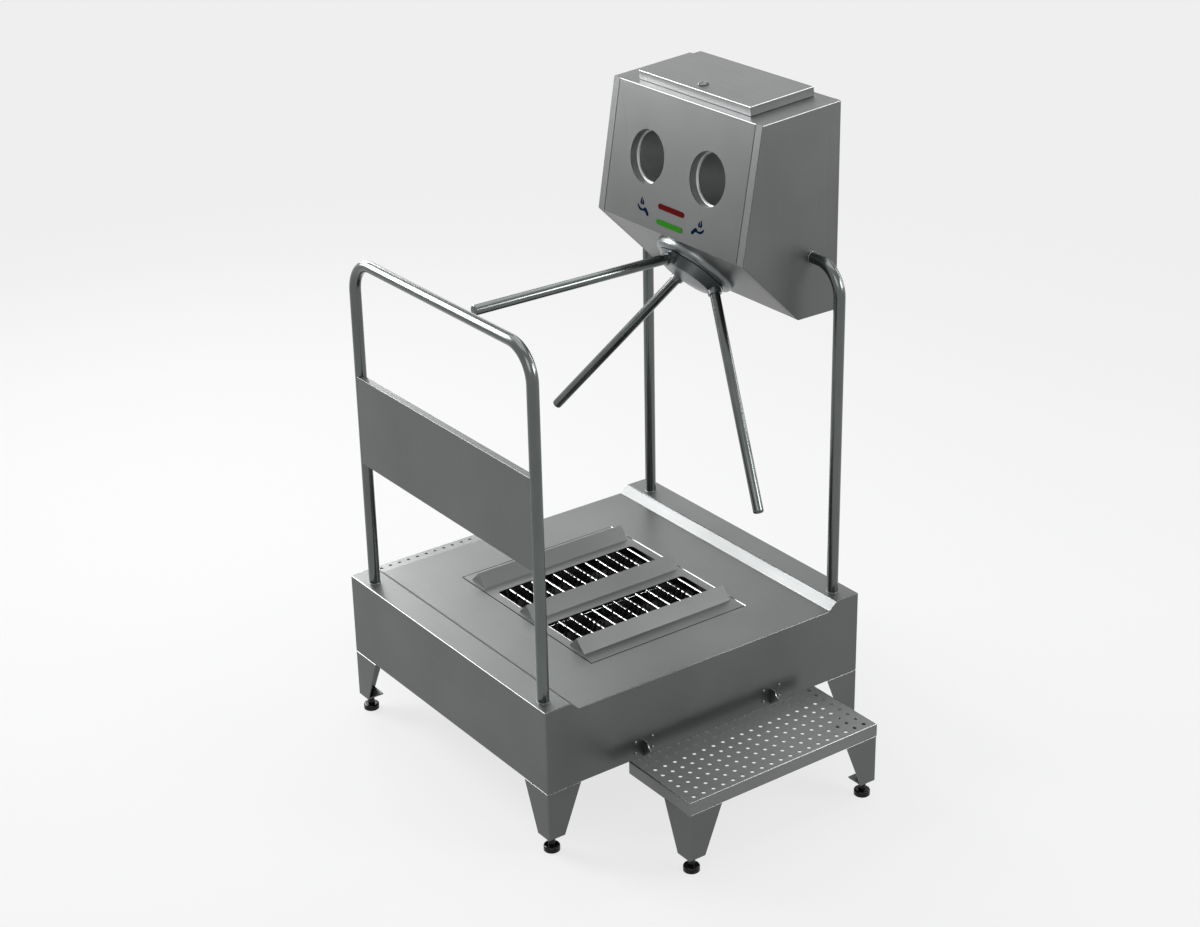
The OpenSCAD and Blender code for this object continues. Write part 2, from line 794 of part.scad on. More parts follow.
// Middle of the head: underside, bottom, back and top, with the upstand of the hatch
lid_sheet = 1.5;
hatch_l = lid_l - 2 * (lid_sheet + upstand_gap);
hatch_w = lid_w - 2 * (lid_sheet + upstand_gap);
upstand_h = 14;
hub_hole_r = 44;
module head_shell() {
    color(steel_top) placed() difference() {
        union() {
            along_y(mid_y - shell_w / 2, shell_w) difference() {
                polygon(head_outline);
                polygon(inset(head_outline, sheet_t));
            }
            on_top() translate([lid_setback + lid_w / 2, 0, 0]) linear_extrude(upstand_h)
                square([hatch_w, hatch_l], center = true);
        }
        on_front() translate([-sheet_t * 4, -shell_w, -sheet_t - eps])
            cube([face_len + sheet_t * 8, 2 * shell_w, 4 * sheet_t]);
        on_top() translate([lid_setback + lid_w / 2, 0, -4 * sheet_t]) linear_extrude(upstand_h + 8 * sheet_t)
            square([hatch_w - 2 * sheet_t, hatch_l - 2 * sheet_t], center = true);
        on_hub() translate([0, 0, -4 * sheet_t]) cylinder(r = hub_hole_r, h = 8 * sheet_t);
    }
}

// Side cheek: plate with a folded rim towards the middle, and the post's hole
module cheek() {
    difference() {
        union() {
            along_y(0, sheet_t) polygon(head_outline);
            along_y(0, cheek_w) difference() {
                polygon(head_outline);
                polygon(inset(head_outline, sheet_t));
            }
            translate([platform_w - head_post_inset, 0, head_post_h]) rotate([-90, 0, 0])
                cylinder(r = tube_r + 8, h = cheek_w - 2);
        }
        translate([platform_w - head_post_inset, -1, head_post_h]) rotate([-90, 0, 0])
            cylinder(r = tube_r + fit, h = cheek_w + 2);
    }
}
module cheek_front() {
    color(steel_side) placed() translate([0, head_front_y, 0]) cheek();
}
module cheek_back() {
    color(steel_side) placed() translate([0, head_back_y, 0]) mirror([0, 1, 0]) cheek();
}

// Front panel with the hand holes and the lens slots
module front_panel() {
    color(steel_top) placed() on_front() translate([0, 0, -sheet_t]) linear_extrude(sheet_t) difference() {
        translate([0, -shell_w / 2 + panel_seam]) square([face_len, shell_w - 2 * panel_seam]);
        for (s = [-1, 1]) translate([port_up, s * port_spacing / 2]) circle(port_r);
        for (up = [lens_up, lens_up + lens_spacing]) translate([up, 0]) capsule(lens_l + 0.4, lens_w + 0.4);
    }
}

// Spray pot behind a hand hole: collar, rolled lip and closed pot
pot_wall = 2;
lip = 3;
nozzle_r = 6;
port_x = knee_x + port_up * sin(face_tilt);
port_z = knee_z + port_up * cos(face_tilt);
nozzle_z = -(pump_x - port_x) / cos(face_tilt);
module pot() {
    collar_end = -sheet_t - collar_depth;
    back = -sheet_t - pot_depth;
    difference() {
        rotate_extrude() polygon(concat(
            [[0, back], [pot_r + pot_wall, back], [pot_r + pot_wall, collar_end + pot_wall]],
            [[port_r + pot_wall, collar_end + pot_wall], [port_r + pot_wall, -sheet_t], [port_r, -sheet_t]],
            arc([port_r, collar_end - lip / 2 + lip], lip, 90, 180, 4),
            arc([port_r, collar_end - lip / 2], lip, 180, 225, 3),
            [[pot_r, collar_end - lip], [pot_r, back + pot_wall], [0, back + pot_wall]]
        ));
        translate([0, 0, nozzle_z]) rotate([-90, 0, 0]) cylinder(r = nozzle_r + fit, h = 2 * pot_r);
    }
}
module hand_pot_front() {
    color("#7d807f") placed() on_front() translate([port_up, -port_spacing / 2, 0]) pot();
}
module hand_pot_back() {
    color("#7d807f") placed() on_front() translate([port_up, port_spacing / 2, 0])
        mirror([0, 1, 0]) pot();
}

// Indicator lenses, standing a little proud of the panel
module lens(up) {
    on_front() translate([up, 0, -6]) linear_extrude(7.2) capsule(lens_l, lens_w);
}
module red_lens() {
    color("#b01010") placed() lens(lens_up + lens_spacing);
}
module green_lens() {
    color("#1f8f10") placed() lens(lens_up);
}

// Shelf, reservoir with its filler neck, and pump below the shelf
neck_x = tank_x + tank_w / 2 - 20;
neck_y = mid_y - tank_l / 4;
neck_h = 12;
tank_corner_r = 14;
cap_h = 18;
cap_wall = 4;
module tank_shelf() {
    color(steel_side) placed()
        translate([tank_x - 6, mid_y - shell_w / 2, tank_low_z - shelf_t])
            cube([back_x - sheet_t - tank_x + 6, shell_w, shelf_t]);
}
module reservoir() {
    color("#d8dde0") placed() difference() {
        union() {
            translate([tank_x + tank_w / 2, mid_y, tank_low_z]) linear_extrude(tank_h)
                rounded_slot(tank_w, tank_l, tank_corner_r);
            translate([neck_x, neck_y, tank_top_z - eps]) cylinder(r = neck_r, h = neck_h + eps);
        }
        translate([tank_x + tank_w / 2, mid_y, tank_low_z + tank_wall])
            linear_extrude(tank_h - 2 * tank_wall)
                rounded_slot(tank_w - 2 * tank_wall, tank_l - 2 * tank_wall, tank_corner_r - tank_wall);
        translate([neck_x, neck_y, tank_top_z - 2 * tank_wall])
            cylinder(r = neck_r - tank_wall, h = neck_h + 3 * tank_wall);
    }
}
module tank_cap() {
    rib_r = 1.8;
    color("#2a4f9c") placed() translate([neck_x, neck_y, tank_top_z + gap]) difference() {
        union() {
            cylinder(r = neck_r + cap_wall, h = cap_h);
            for (a = [0:30:330]) rotate([0, 0, a]) translate([neck_r + cap_wall - rib_r / 3, 0, 0])
                cylinder(r = rib_r, h = cap_h);
        }
        translate([0, 0, -1]) cylinder(r = neck_r + fit, h = neck_h + 1.5);
    }
}
pump_r = 28;
pump_len = 70;
pump_gap = 8;
module dosing_pump() {
    saddle_w = 44;
    saddle_in = 8;
    color("#34373a") placed()
        translate([pump_x, mid_y - pump_len / 2, tank_low_z - shelf_t - pump_r - pump_gap]) {
            rotate([-90, 0, 0]) cylinder(r = pump_r, h = pump_len);
            translate([-saddle_w / 2, saddle_in, 0])
                cube([saddle_w, pump_len - 2 * saddle_in, pump_r + pump_gap]);
        }
}

// Spray nozzles in the pots' inner sides, fed by one pipe that hangs from the pump
module spray_nozzles() {
    reach = port_spacing / 2 - pot_r;
    pump_low_z = tank_low_z - shelf_t - 2 * pump_r - pump_gap;
    pipe_z = port_z - (pump_x - port_x) * tan(face_tilt);
    pipe_r = 4;
    sleeve_out = 14;
    sleeve_in = 5;
    tip_r = 2.5;
    tip_l = 4;
    color(chrome) placed() translate([pump_x, mid_y, pipe_z]) {
        for (s = [-1, 1]) rotate([-s * 90, 0, 0]) {
            cylinder(r = pipe_r, h = reach);
            translate([0, 0, reach - sleeve_out]) cylinder(r = nozzle_r, h = sleeve_out + sleeve_in);
            translate([0, 0, reach + sleeve_in]) cylinder(r1 = nozzle_r, r2 = tip_r, h = tip_l);
        }
        cylinder(r = pipe_r, h = pump_low_z - pipe_z);
    }
}

// Control box on the back panel, behind the pots
module control_box() {
    box = [60, 300, 150];
    below_shelf = 20;
    color("#b9bdbc") placed()
        translate([back_x - sheet_t - box.x, mid_y - box.y / 2, tank_low_z - shelf_t - below_shelf - box.z])
            cube(box);
}

// Fixed flange at the underside, with a rolled edge
module hub_flange() {
    roll = flange_r - rotor_r - 1;
    foot = 4;
    hole_r = shaft_r + 4;
    color(chrome) placed() on_hub() rotate_extrude() polygon(concat(
        [[hole_r, 0], [flange_r, 0], [flange_r, foot]],
        [for (t = [15:15:90]) [flange_r - roll * (1 - cos(t)), foot + (flange_t - foot) * sin(t)]],
        [[hole_r, flange_t]]
    ));
}

// Rotor head: cone square to the arms, low dome, arm sockets and shaft bore
module rotor_hub() {
    cone_top = rotor_base_z + rotor_cone_h;
    flat_r = rotor_r - rotor_cone_h;
    dome_h = 6;
    dome_r = (flat_r * flat_r + dome_h * dome_h) / (2 * dome_h);
    dome_angle = asin(flat_r / dome_r);
    socket_wall = 4.5;
    color(chrome) placed() on_hub() difference() {
        union() {
            rotate_extrude() polygon(concat(
                [[0, rotor_base_z], [rotor_r - 1, rotor_base_z], [rotor_r, rotor_base_z + 1]],
                [[flat_r, cone_top]],
                arc([0, cone_top + dome_h - dome_r], dome_r, 90 - dome_angle, 90, 8)
            ));
            for (a = [0:120:240]) arm_line(a)
                translate([0, 0, cone_face - 2]) cylinder(r = arm_r + socket_wall, h = socket_len + 2);
        }
        for (a = [0:120:240]) arm_line(a) translate([0, 0, arm_start])
            cylinder(r = arm_r + fit, h = cone_face + 2 * socket_len - arm_start);
        translate([0, 0, rotor_base_z - 1]) cylinder(r = shaft_r + fit, h = rotor_cone_h);
    }
}

// The line of one arm: z runs along it from the point where the arms' lines meet
module arm_line(a) {
    translate([0, 0, -apex_depth]) rotate([0, 0, a]) rotate([0, arm_angle, 0]) children();
}
module rotor_arm(a) {
    cap = 4;
    color(tube_colour) placed() on_hub() arm_line(a) difference() {
        translate([0, 0, arm_start]) rotate_extrude() polygon(concat(
            [[0, 0], [arm_r, 0]],
            arc([arm_r - cap, arm_len - arm_start - cap], cap, 0, 90, 5),
            [[0, arm_len - arm_start]]
        ));
        translate([0, 0, arm_start - 1]) cylinder(r = arm_r - arm_wall, h = arm_len - arm_start - 2 * cap);
    }
}
module rotor_arm_1() {
    rotor_arm(0);
}
module rotor_arm_2() {
    rotor_arm(120);
}
module rotor_arm_3() {
    rotor_arm(240);
}

module rotor_shaft() {
    shaft_top = rotor_base_z + rotor_cone_h - 2;
    shaft_low = damper_z + damper_floor + 2;
    collar_z = index_z + index_t + 1;
    color(chrome) placed() on_hub() {
        translate([0, 0, shaft_low]) cylinder(r = shaft_r, h = shaft_top - shaft_low);
        translate([0, 0, collar_z]) cylinder(r = shaft_r + 5, h = -sheet_t - housing_len - gap - collar_z);
    }
}

// Index disc, notched all round for the locking bolt
module index_disc() {
    boss_t = 4;
    boss_r = shaft_r + 9;
    notch_w = bolt_w + 0.8;
    color(steel_side) placed() on_hub() translate([0, 0, index_z]) difference() {
        union() {
            cylinder(r = index_r, h = index_t);
            translate([0, 0, -boss_t]) cylinder(r = boss_r, h = boss_t + eps);
        }
        translate([0, 0, -boss_t - 1]) cylinder(r = shaft_r + fit, h = boss_t + index_t + 2);
        for (i = [0:notches - 1]) rotate([0, 0, 90 + i * 360 / notches])
            translate([index_r - notch_depth, -notch_w / 2, -1])
                cube([2 * notch_depth, notch_w, index_t + 2]);
    }
}

// Housing behind the underside: flange, bearing seats and the arm that carries lock and damper
module bearing_housing() {
    plate_t = 4;
    arm_end = damper_z - plate_t;
    arm_w = 44;
    base_t = 6;
    seat_edge = 4;
    color(steel_side) placed() on_hub() difference() {
        union() {
            translate([0, 0, -sheet_t - base_t]) cylinder(r = bracket_y + base_t, h = base_t);
            translate([0, 0, -sheet_t - housing_len]) cylinder(r = housing_r, h = housing_len);
            translate([-arm_w / 2, bracket_y, arm_end]) cube([arm_w, bracket_arm_t, -sheet_t - arm_end]);
            translate([-arm_w / 2, -damper_r / 2, arm_end])
                cube([arm_w, bracket_y + bracket_arm_t + damper_r / 2, plate_t]);
        }
        translate([0, 0, -sheet_t - housing_len - 1])
            cylinder(r = bearing_out_r - seat_edge, h = housing_len + 2);
        for (z = [-sheet_t - bearing_len, -sheet_t - housing_len - eps])
            translate([0, 0, z]) cylinder(r = bearing_out_r + fit, h = bearing_len + 2 * eps);
        translate([0, bracket_y - 1, index_z + index_t / 2]) rotate([-90, 0, 0])
            cylinder(r = bolt_w / 2 + 1, h = bracket_arm_t + 3);
    }
}
module shaft_bearings() {
    color(chrome) placed() on_hub() for (z = [-sheet_t - bearing_len, -sheet_t - housing_len])
        translate([0, 0, z]) rotate_extrude() translate([shaft_r + fit, 0])
            square([bearing_out_r - shaft_r - fit, bearing_len]);
}

// Solenoid on the housing's arm and its bolt, which drops into the index disc
solenoid_l = 48;
solenoid_w = 32;
bolt_clear = 1.2;
bolt_key = 5;
bolt_in_solenoid = 30;
module lock_solenoid() {
    color("#2e3133") placed() on_hub() difference() {
        translate([-solenoid_w / 2, bracket_y + bracket_arm_t, index_z + (index_t - solenoid_w) / 2])
            cube([solenoid_w, solenoid_l, solenoid_w]);
        translate([0, bracket_y + 4, index_z + index_t / 2]) rotate([-90, 0, 0])
            cylinder(r = bolt_w / 2 - 1 + gap, h = solenoid_l - 4);
    }
}
module lock_bolt() {
    tip = index_r + bolt_clear;
    color(chrome) placed() on_hub() translate([0, tip, index_z + index_t / 2]) {
        rotate([-90, 0, 0]) cylinder(r = bolt_w / 2 - 1, h = bracket_y - tip + bolt_in_solenoid);
        translate([-bolt_w / 2, 0, -index_t / 2 + 1]) cube([bolt_w, bolt_key, index_t - 2]);
    }
}
module rotary_damper() {
    color("#2e3133") placed() on_hub() translate([0, 0, damper_z]) difference() {
        cylinder(r = damper_r, h = damper_len);
        translate([0, 0, damper_floor]) cylinder(r = shaft_r + fit, h = damper_len);
    }
}

// Lid, drawn in the head top's frame, with its hinge knuckles behind it
leaf_reach = 5;
hinge_x = lid_setback + lid_w + leaf_reach;
hinge_z = 5;
knuckle_r = 4;
ear_l = 10;
pin_r = 2;
hinge_y = lid_l / 2 - 60;
leaf_l = 22;
lock_x = lid_setback + lock_setback;
lock_stem_r = 8;
module lid() {
    skirt_low = 1;
    color(steel_top) placed() on_top() difference() {
        union() {
            translate([lid_setback, -lid_l / 2, skirt_low]) difference() {
                cube([lid_w, lid_l, lid_h - skirt_low]);
                translate([lid_sheet, lid_sheet, -1])
                    cube([lid_w - 2 * lid_sheet, lid_l - 2 * lid_sheet, lid_h - skirt_low - lid_sheet + 1]);
            }
            for (s = [-1, 1]) translate([hinge_x, s * hinge_y - leaf_l / 2, hinge_z]) {
                rotate([-90, 0, 0]) cylinder(r = knuckle_r, h = leaf_l);
                translate([-leaf_reach - eps, 0, 0]) cube([leaf_reach, leaf_l, knuckle_r]);
            }
        }
        for (s = [-1, 1]) translate([hinge_x, s * hinge_y - leaf_l / 2 - 1, hinge_z])
            rotate([-90, 0, 0]) cylinder(r = pin_r + fit, h = leaf_l + 2);
        translate([lock_x, 0, 0]) cylinder(r = lock_stem_r + fit, h = lid_h + 2);
    }
}
module lid_hinge() {
    color(chrome) placed() on_top() for (s = [-1, 1]) translate([hinge_x, s * hinge_y, hinge_z]) {
        pin_l = leaf_l + 2 * ear_l + 2;
        translate([0, -pin_l / 2, 0]) rotate([-90, 0, 0]) cylinder(r = pin_r, h = pin_l);
        for (side = [-1, 1]) translate([0, side * (leaf_l + ear_l + 2 * gap) / 2 - ear_l / 2, 0]) {
            rotate([-90, 0, 0]) cylinder(r = knuckle_r, h = ear_l);
            translate([-knuckle_r + 1, 0, -hinge_z]) cube([2 * knuckle_r - 2, ear_l, hinge_z]);
        }
    }
}

// Quarter-turn lock: domed cap, stem through the lid and a cam below the head's top sheet
module lid_lock() {
    cap_base = 2;
    dome_h = 5;
    dome_r = (lock_r * lock_r + dome_h * dome_h) / (2 * dome_h);
    dome_angle = asin(lock_r / dome_r);
    cam_t = 3;
    cam_low = -sheet_t - 1 - cam_t;
    cam_l = lock_setback + 1;
    color(chrome) placed() on_top() translate([lock_x, 0, 0]) {
        difference() {
            translate([0, 0, lid_h + gap]) rotate_extrude() polygon(concat(
                [[0, 0], [lock_r, 0], [lock_r, cap_base]],
                arc([0, cap_base + dome_h - dome_r], dome_r, 90 - dome_angle, 90, 8)
            ));
            translate([-1.2, -6, lid_h + cap_base + 3]) cube([2.4, 12, 10]);
        }
        translate([0, 0, cam_low]) cylinder(r = lock_stem_r, h = lid_h + gap - cam_low + eps);
        translate([-6, 0, cam_low]) cube([12, cam_l, cam_t]);
    }
}

// Removable deck cover with two slots and a folded skirt
module deck_cover() {
    color(steel_top) placed() translate([mid_x, mid_y, 0]) {
        translate([0, 0, deck_z - sheet_t]) linear_extrude(sheet_t) difference() {
            square([cover_w, cover_l], center = true);
            for (s = [-1, 1]) translate([0, slot_y(s) - mid_y]) rounded_slot(slot_l, slot_w, slot_corner_r);
        }
        translate([0, 0, deck_z - cover_skirt]) linear_extrude(cover_skirt - sheet_t) difference() {
            square([cover_w, cover_l], center = true);
            square([cover_w - 2 * sheet_t, cover_l - 2 * sheet_t], center = true);
        }
    }
}

// Three folded ridges across the cover, with closed ends
module foot_ridges() {
    outline = [[-ridge_w / 2, 0], [ridge_w / 2, 0], [0, ridge_h]];
    ridge_x = cover_x + ridge_inset;
    ridge_l = cover_w - 2 * ridge_inset;
    color(steel_top) placed() for (i = [-1:1]) {
        translate([0, mid_y + ridge_shift + i * ridge_spacing, deck_z]) difference() {
            along_x(ridge_x, ridge_l) polygon(outline);
            translate([0, 0, -sheet_t]) along_x(ridge_x + sheet_t, ridge_l - 2 * sheet_t)
                polygon(inset(outline, sheet_t));
            translate([ridge_x + sheet_t, -ridge_w / 2 + 3 * sheet_t, -1])
                cube([ridge_l - 2 * sheet_t, ridge_w - 6 * sheet_t, 2]);
        }
    }
}

// Grille rods under one slot
module grille_rods(s) {
    hold = 12;
    color(chrome) placed() for (i = [0:rods - 1])
        translate([rods_x + i * rod_pitch, slot_y(s) - slot_w / 2 - hold, deck_z - sheet_t - rod_r])
            rotate([-90, 0, 0]) cylinder(r = rod_r, h = slot_w + 2 * hold);
}
module grille_rods_front() {
    grille_rods(-1);
}
module grille_rods_back() {
    grille_rods(1);
}

// Brush body with its shaft, then the bristles, then the pulley
body_inner_gap = 0.4;
backing_t = 4;
module brush_body(s) {
    y = slot_y(s);
    shaft_proud = 3;
    shaft_x = mid_x - basin_w / 2 - basin_wall - bearing_t - shaft_proud;
    shaft_end = pulley_x + pulley_w + 1;
    color("#8a8f92") placed() {
        lay_x([shaft_x, y, brush_z]) cylinder(r = brush_shaft_r, h = shaft_end - shaft_x);
        lay_x([rods_x, y, brush_z]) cylinder(r = brush_body_r - backing_t - body_inner_gap, h = rods_l);
    }
}
tuft_offset = 5.5;
module tuft() {
    root = brush_body_r - backing_t / 2;
    translate([0, 0, root]) cylinder(r1 = tuft_r, r2 = tuft_r / 2, h = brush_r - root, $fn = 3);
}
module brush_bristles(s) {
    y = slot_y(s);
    color(black) placed() lay_x([rods_x, y, brush_z]) {
        difference() {
            cylinder(r = brush_body_r, h = rods_l, $fn = 32);
            translate([0, 0, -1]) cylinder(r = brush_body_r - backing_t, h = rods_l + 2, $fn = 32);
        }
        for (ring = [0:rods - 2], k = [0:tufts - 1])
            translate([0, 0, (ring + 0.5) * rod_pitch + (k % 2 == 0 ? tuft_offset : -tuft_offset)])
                rotate([0, 0, k * 360 / tufts + ring * tuft_twist]) rotate([0, 90, 0]) tuft();
    }
}
module pulley(r, bore) {
    flange = (pulley_w - belt_w) / 2 - 0.5;
    rotate_extrude() polygon([
        [bore, 0], [r + 8, 0], [r + 8, flange], [r, flange + 0.01],
        [r, pulley_w - flange - 0.01], [r + 8, pulley_w - flange], [r + 8, pulley_w], [bore, pulley_w]
    ]);
}
module brush_pulley(s) {
    color(chrome) placed() lay_x([pulley_x, slot_y(s), brush_z])
        pulley(brush_pulley_r, brush_shaft_r + fit);
}
module brush_body_front() {
    brush_body(-1);
}
module brush_body_back() {
    brush_body(1);
}
module brush_bristles_front() {
    brush_bristles(-1);
}
module brush_bristles_back() {
    brush_bristles(1);
}
module brush_pulley_front() {
    brush_pulley(-1);
}
module brush_pulley_back() {
    brush_pulley(1);
}
module motor_pulley() {
    color(chrome) placed() {
        lay_x([pulley_x, mid_y, motor_z]) pulley(motor_pulley_r, 0);
        lay_x([pulley_x + 1, mid_y, motor_z])
            cylinder(r = motor_shaft_r, h = motor_plate_x + motor_seat - 2 - pulley_x);
    }
}

tub_casing();
cover_rim();
brush_basin();
drain_spout();
brush_bearings();
gear_motor();
drive_belt();
spray_bar();
cable_gland();
platform_legs();
platform_feet();
step_legs();
step_feet();
entry_step();
exit_step();
step_brackets();
handrail_tube();
handrail_panel();
head_post_front();
head_post_back();
head_shell();
front_panel();
cheek_front();
cheek_back();
hand_pot_front();
hand_pot_back();
red_lens();
green_lens();
reservoir();
tank_shelf();
dosing_pump();
spray_nozzles();
control_box();
hub_flange();
bearing_housing();
shaft_bearings();
lock_solenoid();
rotary_damper();
lid_hinge();
deck_cover();
foot_ridges();
grille_rods_front();
grille_rods_back();
brush_body_front();
brush_bristles_front();
brush_pulley_front();
brush_body_back();
brush_bristles_back();
brush_pulley_back();
motor_pulley();
rotor_hub();
rotor_arm_1();
rotor_arm_2();
rotor_arm_3();
rotor_shaft();
index_disc();
lock_bolt();
lid();
lid_lock();
tank_cap();
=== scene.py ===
# %% [markdown]
# # A hygiene turnstile in satin stainless steel
# A person walks up a perforated step, over two powered brushes that clean the soles, puts both
# hands into a dispenser, and then pushes through a three-armed turnstile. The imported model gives
# every rigid piece at its real size and place. This lesson dresses it: steel finishes, eased
# folds that catch the light, weld beads, printed signs and thousands of bristles.

import json
from math import atan2, cos, pi, radians, sin

import bmesh
import bpy
from mathutils import Matrix, Vector


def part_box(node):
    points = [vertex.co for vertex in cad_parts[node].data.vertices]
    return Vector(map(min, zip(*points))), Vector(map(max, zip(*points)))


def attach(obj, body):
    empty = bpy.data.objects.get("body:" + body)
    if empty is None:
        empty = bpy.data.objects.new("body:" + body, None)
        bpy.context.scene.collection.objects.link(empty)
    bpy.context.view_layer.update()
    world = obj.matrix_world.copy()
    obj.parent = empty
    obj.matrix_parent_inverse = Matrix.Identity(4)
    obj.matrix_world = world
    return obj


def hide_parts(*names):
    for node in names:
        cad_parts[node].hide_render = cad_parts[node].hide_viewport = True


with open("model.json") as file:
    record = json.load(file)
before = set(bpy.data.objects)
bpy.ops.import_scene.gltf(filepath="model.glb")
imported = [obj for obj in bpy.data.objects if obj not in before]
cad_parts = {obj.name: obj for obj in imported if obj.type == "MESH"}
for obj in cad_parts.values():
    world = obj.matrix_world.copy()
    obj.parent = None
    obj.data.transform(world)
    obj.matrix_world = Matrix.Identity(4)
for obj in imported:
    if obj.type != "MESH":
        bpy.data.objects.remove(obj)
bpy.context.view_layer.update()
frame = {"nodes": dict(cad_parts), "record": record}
nodes = frame["nodes"]
MM = 0.001

# %% [markdown]
# ## The camera
# The photograph looks down on the near left corner through a fairly long lens. A camera could be
# aimed at a target by a constraint, but its place, lens and turns were solved from the straight
# edges of the platform, so they are plain numbers here. A camera points along its own -Z, so it
# is first tipped up by a quarter turn, then turned to the view, and last rolled by the small
# angle at which the picture was taken.

# %% Camera
CAMERA_PLACE = (-3.174, -4.452, 3.254)
CAMERA_HEADING = radians(-35.54)
CAMERA_PITCH = radians(-24.67)
CAMERA_ROLL = radians(-1.20)
CAMERA_LENS = 69.34
CAMERA_SENSOR = 36.0
CAMERA_SIGHT = 200.0


def add_camera():
    data = bpy.data.cameras.new("photo_camera")
    data.lens = CAMERA_LENS
    data.sensor_width = CAMERA_SENSOR
    data.clip_end = CAMERA_SIGHT
    camera = bpy.data.objects.new("photo_camera", data)
    turn = Matrix.Rotation(CAMERA_HEADING, 4, "Z") @ Matrix.Rotation(pi / 2 + CAMERA_PITCH, 4, "X")
    camera.matrix_world = Matrix.Translation(CAMERA_PLACE) @ turn @ Matrix.Rotation(CAMERA_ROLL, 4, "Z")
    bpy.context.scene.collection.objects.link(camera)
    bpy.context.scene.camera = camera


add_camera()
print("camera at", CAMERA_PLACE, "lens", CAMERA_LENS)

# %% [markdown]
# ## Starting a finish
# Each finish is a small node tree. It could be painted as pictures on unwrapped meshes, but a
# machine of sheet and tube has no patterns that need it, and a noise that reads Object
# coordinates fits every piece at its real size. The first helper starts a material and hands
# back its shader. The second adds a noise that is finer in some directions than in others.

# %% Start a material and add a noise
def new_material(name, colour, rough, metal=0.0):
    material = bpy.data.materials.new(name)
    material.use_nodes = True
    shader = material.node_tree.nodes["Principled BSDF"]
    shader.inputs["Base Color"].default_value = (*colour, 1)
    shader.inputs["Roughness"].default_value = rough
    shader.inputs["Metallic"].default_value = metal
    return material, shader


def add_noise(material, fineness, detail, name):
    tree = material.node_tree
    place = tree.nodes.new("ShaderNodeTexCoord")
    mapping = tree.nodes.new("ShaderNodeMapping")
    noise = tree.nodes.new("ShaderNodeTexNoise")
    mapping.inputs["Scale"].default_value = fineness
    noise.inputs["Scale"].default_value = 1.0
    noise.inputs["Detail"].default_value = detail
    noise.label = name
    tree.links.new(place.outputs["Object"], mapping.inputs["Vector"])
    tree.links.new(mapping.outputs["Vector"], noise.inputs["Vector"])
    return noise.outputs["Fac"]


print("a fineness is in waves to the metre, in Object coordinates")

# %% [markdown]
# ## What a noise does to a finish
# Real metal and plastic are never quite even, and the eye misses it when they are. One noise can
# vary a finish in three ways: its roughness, its colour and its height. A raw noise keeps close
# to its middle, so its useful part is spread out first to the range that is asked for. The
# same could be done with a colour ramp, but a plain range is easier to read and to change.

# %% Vary roughness, colour and height
NOISE_LOW = 0.3
NOISE_HIGH = 0.7


def band(material, value, low, high):
    tree = material.node_tree
    remap = tree.nodes.new("ShaderNodeMapRange")
    remap.inputs["From Min"].default_value = NOISE_LOW
    remap.inputs["From Max"].default_value = NOISE_HIGH
    remap.inputs["To Min"].default_value = low
    remap.inputs["To Max"].default_value = high
    tree.links.new(value, remap.inputs["Value"])
    return remap.outputs["Result"]


def vary_roughness(material, shader, value, rough, spread):
    varied = band(material, value, rough - spread, rough + spread)
    material.node_tree.links.new(varied, shader.inputs["Roughness"])


def vary_colour(material, shader, value, colour, darker, lighter):
    tree = material.node_tree
    mix = tree.nodes.new("ShaderNodeMix")
    mix.data_type = "RGBA"
    mix.inputs["A"].default_value = (*[c * (1 - darker) for c in colour], 1)
    mix.inputs["B"].default_value = (*[c * (1 + lighter) for c in colour], 1)
    tree.links.new(band(material, value, 0.0, 1.0), mix.inputs["Factor"])
    tree.links.new(mix.outputs["Result"], shader.inputs["Base Color"])


def add_bump(material, shader, value, depth, strength):
    tree = material.node_tree
    bump = tree.nodes.new("ShaderNodeBump")
    bump.inputs["Distance"].default_value = depth
    bump.inputs["Strength"].default_value = strength
    tree.links.new(value, bump.inputs["Height"])
    tree.links.new(bump.outputs["Normal"], shader.inputs["Normal"])


print("the useful part of a noise lies between", NOISE_LOW, "and", NOISE_HIGH)

# %% [markdown]
# ## Satin sheet
# Food-grade machines are folded from sheet that was ground in one direction. The grain is far finer than
# a pixel, so what the eye sees is a soft, slightly streaky gloss. An anisotropic shader could give that
# gloss, but it doesn't survive baking. Here a noise that is about eighty times finer across the grain
# than along it varies the roughness and gives a shallow bump, and a second, large and faint one is the
# cloudiness of a wiped surface. Most sheets share one grey, and the steps and the head are a shade
# lighter or darker. The front of the lid is polished, and its far paler grey is a painted reflection of
# the lamps that it mirrors.

# %% Sheet finishes
GRAIN_FINE = 420
GRAIN_LONG = 5
ALONG_X = (GRAIN_LONG, GRAIN_FINE, GRAIN_FINE)
ALONG_Y = (GRAIN_FINE, GRAIN_LONG, GRAIN_FINE)
ALONG_Z = (GRAIN_FINE, GRAIN_FINE, GRAIN_LONG)
ONLY_OVER_Y = (GRAIN_LONG, GRAIN_FINE, GRAIN_LONG)
EVERY_WAY = (GRAIN_FINE, GRAIN_FINE, GRAIN_FINE)
GRAIN_DETAIL = 2.0
GRAIN_DEPTH = 0.2 * MM
GRAIN_STRENGTH = 0.1
GRAIN_SPREAD = 0.03
CLOUD_FINENESS = (4, 4, 4)
CLOUD_DETAIL = 2.0
CLOUD_SHADE = 0.07


def satin(name, colour, rough, grain_way):
    material, shader = new_material(name, colour, rough, metal=1.0)
    grain = add_noise(material, grain_way, GRAIN_DETAIL, "grain")
    clouds = add_noise(material, CLOUD_FINENESS, CLOUD_DETAIL, "clouds")
    vary_colour(material, shader, clouds, colour, CLOUD_SHADE, CLOUD_SHADE)
    vary_roughness(material, shader, grain, rough, GRAIN_SPREAD)
    add_bump(material, shader, grain, GRAIN_DEPTH, GRAIN_STRENGTH)
    return material


